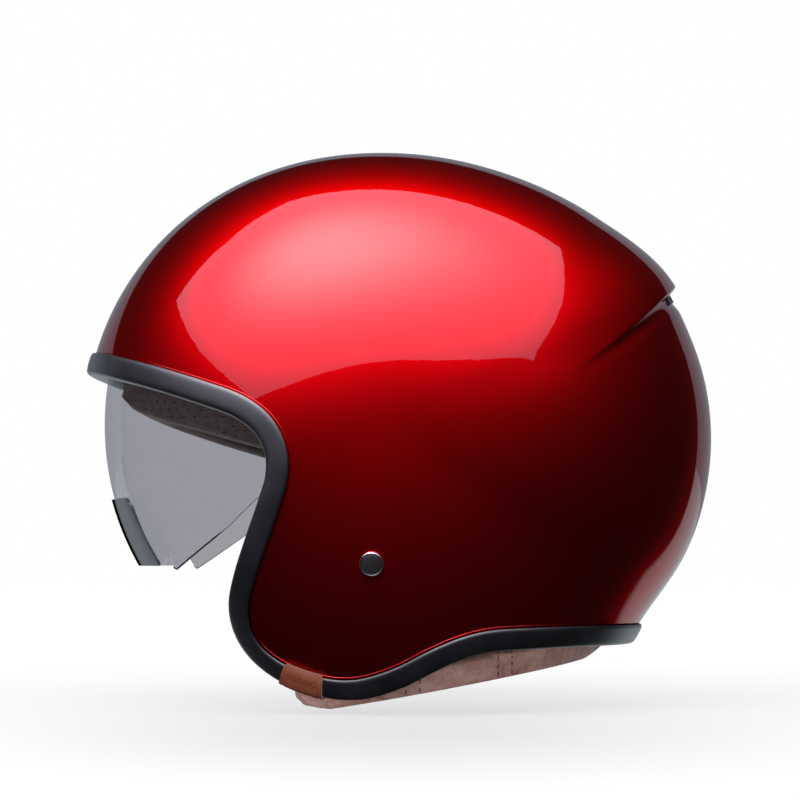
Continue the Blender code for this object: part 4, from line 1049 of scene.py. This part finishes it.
def settled(points):
    """Brings a soft piece's underside down to the plane, and leaves the rest of it where it is."""
    floor = np.maximum((points[:, 0] - REST_X) * REST_SLOPE, 0.0)
    gap = points[:, 2] - floor
    points[:, 2] -= gap.min() * np.exp(-np.maximum(gap - gap.min(), 0.0) / SETTLE_REACH)
    points[:, 2] -= SETTLE_MORE * np.exp(-((gap / SETTLE_REACH) ** 2))
    return on_rest_plane(points)


NECK_SEAMS = (5.5 * MM, 45.0 * MM)


def make_neck_roll():
    roll = blown_up("neck_roll_pad", "neck_roll", LEATHERETTE, voxel=3.0,
                    shrink=0.2, swell=3.0, flat=on_rest_plane, levels=2)
    seams = [lambda p, x=x: p[:, 0] - x for x in NECK_SEAMS]
    sew(roll, seams, 0.35, 0.9)
    write(roll.data, settled(read(roll.data)))
    for side, sign in (("left", -1), ("right", 1)):
        for number, x in enumerate(NECK_SEAMS):
            for edge, shift in (("a", -3.0 * MM), ("b", 3.0 * MM)):
                place = x + shift
                bottom = (place - REST_X) * REST_SLOPE
                heights = np.linspace(bottom + 1.0 * MM, bottom + 13.0 * MM, 24)
                start = [(place, sign * 130 * MM, z) for z in heights]
                path = cast(roll, start, -sign)
                stitches(f"neck_stitch_{side}_{number + 1}{edge}", roll, path, BROWN_THREAD)


BROW_LINE = (
    (-128.6, 143.0), (-127, 139), (-119, 132.5), (-108, 128.2), (-85, 120.5), (-68, 115.0),
    (-57, 111.5), (-51, 109.6),
)


def make_brow_pad():
    pad = blown_up("brow_pad_suede", "brow_pad", SUEDE, voxel=3.5, shrink=1.0, swell=1.6)
    line = smooth_line(np.array(BROW_LINE) * MM, 12)
    width = half_width_at(line[:, 0], line[:, 1], 14.6 * MM)
    line, width = line[~np.isnan(width)], width[~np.isnan(width)]
    left = np.stack((line[:, 0], -width, line[:, 1]), axis=-1)
    whole = even_line(np.vstack((left[::-1], left * (1, -1, 1))), 220)
    places, _ = laid_on(surface_tree(pad), whole, 0.1 * MM)
    kernel = np.ones(9) / 9
    eased = [np.convolve(np.pad(axis, 4, mode="edge"), kernel, "valid") for axis in places.T]
    tube("brow_piping", np.stack(eased, -1), 0.8 * MM, SUEDE)


def make_crown_pad():
    pad = blown_up("crown_pad_suede", "crown_pad", SUEDE, voxel=4.0, shrink=1.0, swell=1.8)
    seams = [lambda p, y=y: p[:, 1] - y for y in (-34 * MM, 34 * MM)]
    seams.append(lambda p: p[:, 0] - 2 * MM)
    sew(pad, seams, 1.2, 2.0)


def make_cheek_pads():
    for side, sign in (("left", -1), ("right", 1)):
        pad = blown_up(f"cheek_pad_suede_{side}", f"cheek_pad_{side}", CHEEK_SUEDE,
                       voxel=3.5, shrink=1.2, swell=2.4)
        low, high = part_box(f"cheek_pad_{side}")
        middle = np.array((low + high) / 2)
        turns = np.linspace(0, 2 * pi, 120, endpoint=False)
        ring = []
        for turn in turns:
            ring.append((middle[0] + 29 * MM * cos(turn) - 4 * MM, sign * 40 * MM,
                         middle[2] + 22 * MM * sin(turn) + 3 * MM))
        ring = np.array(ring)
        places, _ = laid_on(surface_tree(pad), cast(pad, ring, sign))
        tube(f"cheek_piping_{side}", places, 0.9 * MM, LEATHERETTE, closed=True)


def cast(piece, points, sign):
    """Points sent sideways until they meet a piece. Those that miss it are left out."""
    tree = surface_tree(piece)
    met = [tree.ray_cast(Vector(point), Vector((0, sign, 0)))[0] for point in points]
    return np.array([place for place in met if place is not None])


# ---------------------------------------------------------------- chin strap
def lathe(name, profile, place, normal, look, node):
    """A turned piece from (radius, height) in mm along a normal."""
    normal = Vector(normal).normalized()
    side = normal.orthogonal().normalized()
    other = normal.cross(side)
    rings = []
    turns = np.linspace(0, 2 * pi, 64, endpoint=False)
    for radius, height in profile:
        centre = Vector(place) + normal * height * MM
        rings.append([centre + (side * cos(t) + other * sin(t)) * max(radius, 0.02) * MM for t in turns])
    new_piece(name, loft(name, rings, sharp=40), look, replaces=[node])


RIVET_X, RIVET_Z = -11.8 * MM, 63.5 * MM
RIVET_RING = (
    (0.02, -11.0), (4.0, -11.0), (4.0, -10.2), (2.5, -10.0), (2.4, 0.3), (4.9, 0.32), (5.12, 0.55),
    (5.1, 1.0), (4.97, 1.38), (4.78, 1.56), (4.58, 1.48), (4.44, 1.2), (4.4, 0.8), (0.02, 0.8),
)
RIVET_CAP = (
    (0.02, 0.9), (4.24, 0.9), (4.28, 1.1), (4.1, 1.35), (3.6, 1.52), (2.4, 1.68), (1.0, 1.76), (0.02, 1.77),
)


def make_rivets():
    for side, sign in (("left", -1), ("right", 1)):
        place = np.array((RIVET_X, sign * half_width_at(RIVET_X, RIVET_Z), RIVET_Z))
        normal = outward(place)
        lathe(f"rivet_ring_{side}", RIVET_RING, place, normal, CHROME, f"strap_rivet_{side}")
        lathe(f"rivet_dome_{side}", RIVET_CAP, place, normal, ABS_BLACK,
              f"rivet_cap_{side}")


def make_rings():
    """The two D-rings as smooth bent wire, in the places of the CAD's."""
    for name in ("d_ring_inner", "d_ring_outer"):
        low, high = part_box(name)
        radius = (high.y - low.y) / 2
        y = (low.y + high.y) / 2
        half = (high.x - low.x) / 2 - radius
        x, bottom, top = (low.x + high.x) / 2, low.z + radius, high.z - radius
        corner = 3.0 * MM
        path = [(x + (half - corner) * t, y, bottom) for t in np.linspace(-1, 1, 24)]
        for turn in np.linspace(-pi / 2, 0, 8)[1:]:
            path.append((x + half - corner + corner * cos(turn), y, bottom + corner + corner * sin(turn)))
        rise = top - bottom - corner
        for turn in np.linspace(0, pi, 40)[1:]:
            path.append((x + half * cos(turn), y, bottom + corner + rise * sin(turn)))
        for turn in np.linspace(pi, 3 * pi / 2, 8)[1:-1]:
            path.append((x - half + corner + corner * cos(turn), y, bottom + corner + corner * sin(turn)))
        piece = tube(f"{name}_wire", even_loop(path, 140), radius, STEEL, name, True, 20)
        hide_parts(name)


def even_loop(points, count):
    line = np.vstack((points, points[:1]))
    return even_line(line, count)[:-1]


def make_covers():
    """Padded sleeves on the chin straps, with a bound hem at both ends and a sewn edge."""
    for side, sign in (("left", -1), ("right", 1)):
        low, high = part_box(f"strap_cover_{side}")
        centre, half = (low + high) / 2, (high - low) / 2
        rings = []
        for t in np.linspace(0, 1, 61):
            z = low.z + (high.z - low.z) * t
            end = min(t, 1 - t) * (high.z - low.z) / MM
            plump = 1 - 0.42 * np.exp(-((end / 3.2) ** 2))
            hem = 0.16 * np.exp(-(((end - 0.9) / 0.8) ** 2))
            ripple = 0.04 * np.cos(t * 2 * pi * 5)
            ring = []
            for turn in np.linspace(0, 2 * pi, 64, endpoint=False):
                c, s = cos(turn), sin(turn)
                flat = abs(c) ** 0.42 * (1 if c > 0 else -1)
                thick = abs(s) ** 0.75 * (1 if s > 0 else -1)
                seam = 1 - 0.10 * np.exp(-(((abs(flat) - 0.86) / 0.05) ** 2))
                depth = half.y * (plump + hem + ripple * 0.5) * thick * seam
                ring.append((centre.x + half.x * flat * (0.985 + 0.015 * plump), centre.y + depth, z))
            rings.append(ring)
        cover = new_piece(f"strap_sleeve_{side}", loft("sleeve", rings, sharp=50), SLEEVE,
                          f"strap_{side}", [f"strap_cover_{side}"])
        for edge, x in (("front", -0.86), ("rear", 0.86)):
            for face in (-1, 1):
                path = [(centre.x + half.x * x, centre.y + face * half.y * 2, z)
                        for z in np.linspace(low.z + 3 * MM, high.z - 3 * MM, 30)]
                tag = "inner" if face == -sign else "outer"
                stitches(f"sleeve_stitch_{side}_{edge}_{tag}", cover, path, DARK_THREAD,
                         f"strap_{side}", 1.8, 0.8, 0.22)


def sleeve_fabric():
    """Ribbed knit of the strap sleeves."""
    n = Nodes("sleeve_knit")
    x, _, z = split(n, n.place())
    ribs = n.math("SINE", n.math("MULTIPLY", x, 2 * pi / (0.9 * MM)))
    rows = n.math("SINE", n.math("MULTIPLY", z, 2 * pi / (0.7 * MM)))
    knit = n.math("MULTIPLY_ADD", n.math("ADD", ribs, n.math("MULTIPLY", rows, 0.5)), 0.33, 0.5)
    # Painted shade: the knit's colour is darker where its height is low, in the grooves.
    tone = n.steps(knit, (0.2, (0.009, 0.009, 0.01)), (0.8, (0.03, 0.03, 0.033)))
    n.set(Base_Color=tone, Roughness=0.88, Sheen_Weight=0.4, Sheen_Roughness=0.5)
    n.set(Normal=n.bump(knit, 0.6, 0.2 * MM))
    return n.material


SLEEVE = sleeve_fabric()


# ---------------------------------------------------------------- carried-over CAD nodes
CAD_LOOKS = {
    "eps_": FOAM, "cheek_snap": ABS_BLACK, "visor_base": ABS_BLACK, "friction_washer": NYLON,
    "pivot_bush": NYLON, "pivot_screw": STEEL, "detent_spring": STEEL, "strap_backing": STEEL,
    "strap_upper": WEB, "strap_left": WEB, "strap_right": WEB, "strap_snap": STEEL,
    "rear_vent": ABS_BLACK,
}


def paint_nodes():
    for name, node in frame["nodes"].items():
        for start, look in CAD_LOOKS.items():
            if name.startswith(start):
                node.data.materials.clear()
                node.data.materials.append(look)


# ---------------------------------------------------------------- floor, light, camera
CAMERA_PLACE = Vector((0.0, -1.2, 0.065))
CAMERA_AIM = Vector((0.0, 0.0, 0.1386))
LENS = 117.4


def make_camera():
    data = bpy.data.cameras.new("camera")
    data.lens, data.sensor_width = LENS, 36.0
    data.clip_start, data.clip_end = 0.05, 30.0
    camera = linked("camera", data)
    camera.location = CAMERA_PLACE
    camera.rotation_euler = (CAMERA_AIM - CAMERA_PLACE).to_track_quat("-Z", "Y").to_euler()
    bpy.context.scene.camera = camera


def panel(name, outline, matrix, glow):
    """A glowing flat panel in its own plane, which the camera doesn't see."""
    mesh = bpy.data.meshes.new(name)
    mesh.from_pydata([(u, v, 0.0) for u, v in outline], [], [tuple(range(len(outline)))])
    mesh.materials.append(glow)
    board = linked(name, mesh)
    board.matrix_world = matrix
    board.visible_camera = False


# The softbox leans over the helmet, its middle this far from the helmet's centre.
BOX_DISTANCE, BOX_TILT = 1.3, 33.5
SOFTBOX = (
    (-2.45, 1.12), (-1.3, 1.2), (-0.65, 1.52), (1.17, 1.14), (1.17, -0.83), (-0.1, -1.03), (-1.42, -1.38),
    (-1.98, -0.3),
)
HOT_PLACE, HOT_REACH, HOT_TURN = (-0.3, 0.17), (0.68, 0.57), 7.6
SOFT_LEVEL, HOT_LEVEL, RISE = 1.38, 5.3, 0.25
WALL_PLACE, WALL_LEVEL = 1.5, 0.31
WALL = (
    (-2.0, -0.3), (-2.0, 0.72), (-1.3, 0.85), (-0.5, 0.92), (0.0, 1.08), (0.9, 1.16), (1.3, 0.98),
    (1.6, 0.6), (1.72, 0.2), (1.78, -0.3),
)


def softbox_glow():
    """Bright in a band across the middle, dimmer and cooler to the edges."""
    n = Nodes("softbox_glow")
    n.tree.nodes.remove(n.shader)
    where = n.add("ShaderNodeTexCoord").outputs["Object"]
    moved = n.add("ShaderNodeVectorMath", {0: where, 1: (*HOT_PLACE, 0.0)}, operation="SUBTRACT")
    spun = n.add("ShaderNodeVectorRotate", {"Vector": moved.outputs[0], "Angle": radians(-HOT_TURN)},
                 rotation_type="Z_AXIS").outputs[0]
    x, y, _ = split(n, spun)
    hot = n.math("MULTIPLY", n.blob(x, y, HOT_REACH), HOT_LEVEL)
    v = split(n, where)[1]
    soft = n.math("MULTIPLY_ADD", v, RISE, SOFT_LEVEL)
    cool = n.add("ShaderNodeEmission", {"Color": (1.0, 0.97, 1.25), "Strength": soft})
    warm = n.add("ShaderNodeEmission", {"Color": (1.0, 1.0, 1.0), "Strength": hot})
    both = n.add("ShaderNodeAddShader", {0: cool.outputs[0], 1: warm.outputs[0]})
    return n.surface(both)


def plain_glow(name, colour, strength):
    n = Nodes(name)
    n.tree.nodes.remove(n.shader)
    glow = n.add("ShaderNodeEmission", {"Color": colour, "Strength": strength})
    return n.surface(glow)


# Broad dim lamps that only rough surfaces answer to: place, aim, width, height and power in watts.
FILLS = (
    ("fill_front", (0.05, -0.9, 0.02), (0.02, 0.0, 0.02), 1.2, 0.12, 8.0),
    ("fill_face", (-0.7, -0.6, 0.06), (-0.06, 0.0, 0.14), 0.6, 0.2, 6.0),
)


def make_fills():
    for name, place, aim, width, height, power in FILLS:
        data = bpy.data.lights.new(name, "AREA")
        data.shape, data.size, data.size_y, data.energy = "RECTANGLE", width, height, power
        lamp = linked(name, data)
        lamp.location = place
        lamp.rotation_euler = (Vector(aim) - Vector(place)).to_track_quat("-Z", "Y").to_euler()
        lamp.visible_camera = lamp.visible_glossy = False


def make_lights():
    tilt = Matrix.Rotation(radians(BOX_TILT), 4, "X")
    middle = Vector(CENTRE) + tilt @ Vector((0, 0, 1)) * BOX_DISTANCE
    panel("softbox", SOFTBOX, Matrix.Translation(middle) @ tilt, softbox_glow())
    upright = Matrix.Translation((0, WALL_PLACE, 0)) @ Matrix.Rotation(radians(90), 4, "X")
    panel("backdrop", WALL, upright, plain_glow("backdrop_glow", (0.86, 0.96, 1.13), WALL_LEVEL))


FLOOR_DROP = 0.6 * MM
FLOOR_SIZE, FLOOR_SHARPNESS = 6.0, 60.0
FLOOR_GLOW, FLOOR_SHADE, FLOOR_CLOTH = 0.6, 0.84, 0.10
FLOOR_TINT, FLOOR_DIM = (0.84, 0.94, 1.0), 0.014
WEDGE_SLOPE, WEDGE_START = 0.97, 0.19
SHADOW_REACH, SHADOW_Y, SHADOW_DEPTH = (0.125, 0.232), -0.2, 0.20


def make_floor():
    """A white sweep, clear from below, with a painted shadow and painted shade round the helmet. The paint
    sees only its rear part, as a painted glow.
    """
    mesh = bpy.data.meshes.new("floor")
    corners = [(-1, -1), (1, -1), (1, 1), (-1, 1)]
    mesh.from_pydata([(x * FLOOR_SIZE, y * FLOOR_SIZE, 0) for x, y in corners], [], [(0, 1, 2, 3)])
    n = Nodes("pale_floor")
    n.tree.nodes.remove(n.shader)
    seen = n.add("ShaderNodeLightPath").outputs["Is Camera Ray"]
    x, y, _ = split(n, n.add("ShaderNodeTexCoord").outputs["Object"])
    # Painted light for every ray but the camera's: the floor glows brightly behind the helmet and dimly
    # elsewhere, for the paint's reflections.
    line = n.math("MULTIPLY_ADD", n.steps(n.math("DIVIDE", x, 0.4), (0.2, 0.0), (0.4, 1.0)), 0.07, -0.07)
    behind = n.math("MULTIPLY", n.math("SUBTRACT", y, line), FLOOR_SHARPNESS, clamp=True)
    wedge = n.math("MULTIPLY_ADD", n.math("ABSOLUTE", x), -WEDGE_SLOPE, WEDGE_START)
    inside = n.math("MULTIPLY", n.math("ADD", y, wedge), FLOOR_SHARPNESS, clamp=True)
    behind = n.math("MULTIPLY", behind, inside)
    painted_glow = n.add("ShaderNodeEmission", {
        "Color": FLOOR_TINT, "Strength": n.math("MULTIPLY_ADD", behind, FLOOR_GLOW, FLOOR_DIM),
    })
    reach = n.math("SQRT", n.math("ADD", n.math("MULTIPLY", x, x), n.math("MULTIPLY", y, y)))
    # Painted shade: the white card's glow is dimmer near the helmet.
    lift = n.steps(n.math("DIVIDE", reach, 2.0), (0.1, FLOOR_SHADE), (0.45, 1.0))
    # Painted shadow: a soft oval darkening of the floor in front of the helmet.
    dark = n.math("MULTIPLY", n.blob(x, n.math("SUBTRACT", y, SHADOW_Y), SHADOW_REACH), SHADOW_DEPTH)
    lift = n.math("SUBTRACT", lift, dark)
    card = n.add("ShaderNodeEmission", {"Color": (1.0, 1.0, 1.0), "Strength": lift})
    cloth = n.add("ShaderNodeBsdfDiffuse", {"Color": (FLOOR_CLOTH,) * 3})
    white = n.add("ShaderNodeAddShader", {0: card.outputs[0], 1: cloth.outputs[0]})
    mixed = n.add("ShaderNodeMixShader", {0: seen, 1: painted_glow.outputs[0], 2: white.outputs[0]})
    below = n.math("MULTIPLY", seen, n.add("ShaderNodeNewGeometry").outputs["Backfacing"])
    gone = n.add("ShaderNodeBsdfTransparent")
    mixed = n.add("ShaderNodeMixShader", {0: below, 1: mixed.outputs[0], 2: gone.outputs[0]})
    mesh.materials.append(n.surface(mixed))
    ground = linked("floor", mesh)
    ground.location.z = -FLOOR_DROP


def make_world():
    scene = bpy.context.scene
    scene.view_settings.view_transform = "Standard"
    world = bpy.data.worlds.new("studio")
    scene.world = world
    world.use_nodes = True
    tree = world.node_tree
    path = tree.nodes.new("ShaderNodeLightPath")
    mix = tree.nodes.new("ShaderNodeMix")
    mix.data_type = "RGBA"
    mix.inputs["A"].default_value = (0.012, 0.012, 0.013, 1)
    mix.inputs["B"].default_value = (1, 1, 1, 1)
    tree.links.new(path.outputs["Is Camera Ray"], mix.inputs["Factor"])
    tree.links.new(mix.outputs["Result"], tree.nodes["Background"].inputs["Color"])


make_shell()
make_trim()
make_tab()
make_visor()
make_visor_edges()
make_brow_pad()
make_crown_pad()
make_cheek_pads()
make_neck_roll()
make_rivets()
make_rings()
make_covers()
paint_nodes()
make_world()
make_floor()
make_lights()
make_fills()
make_camera()
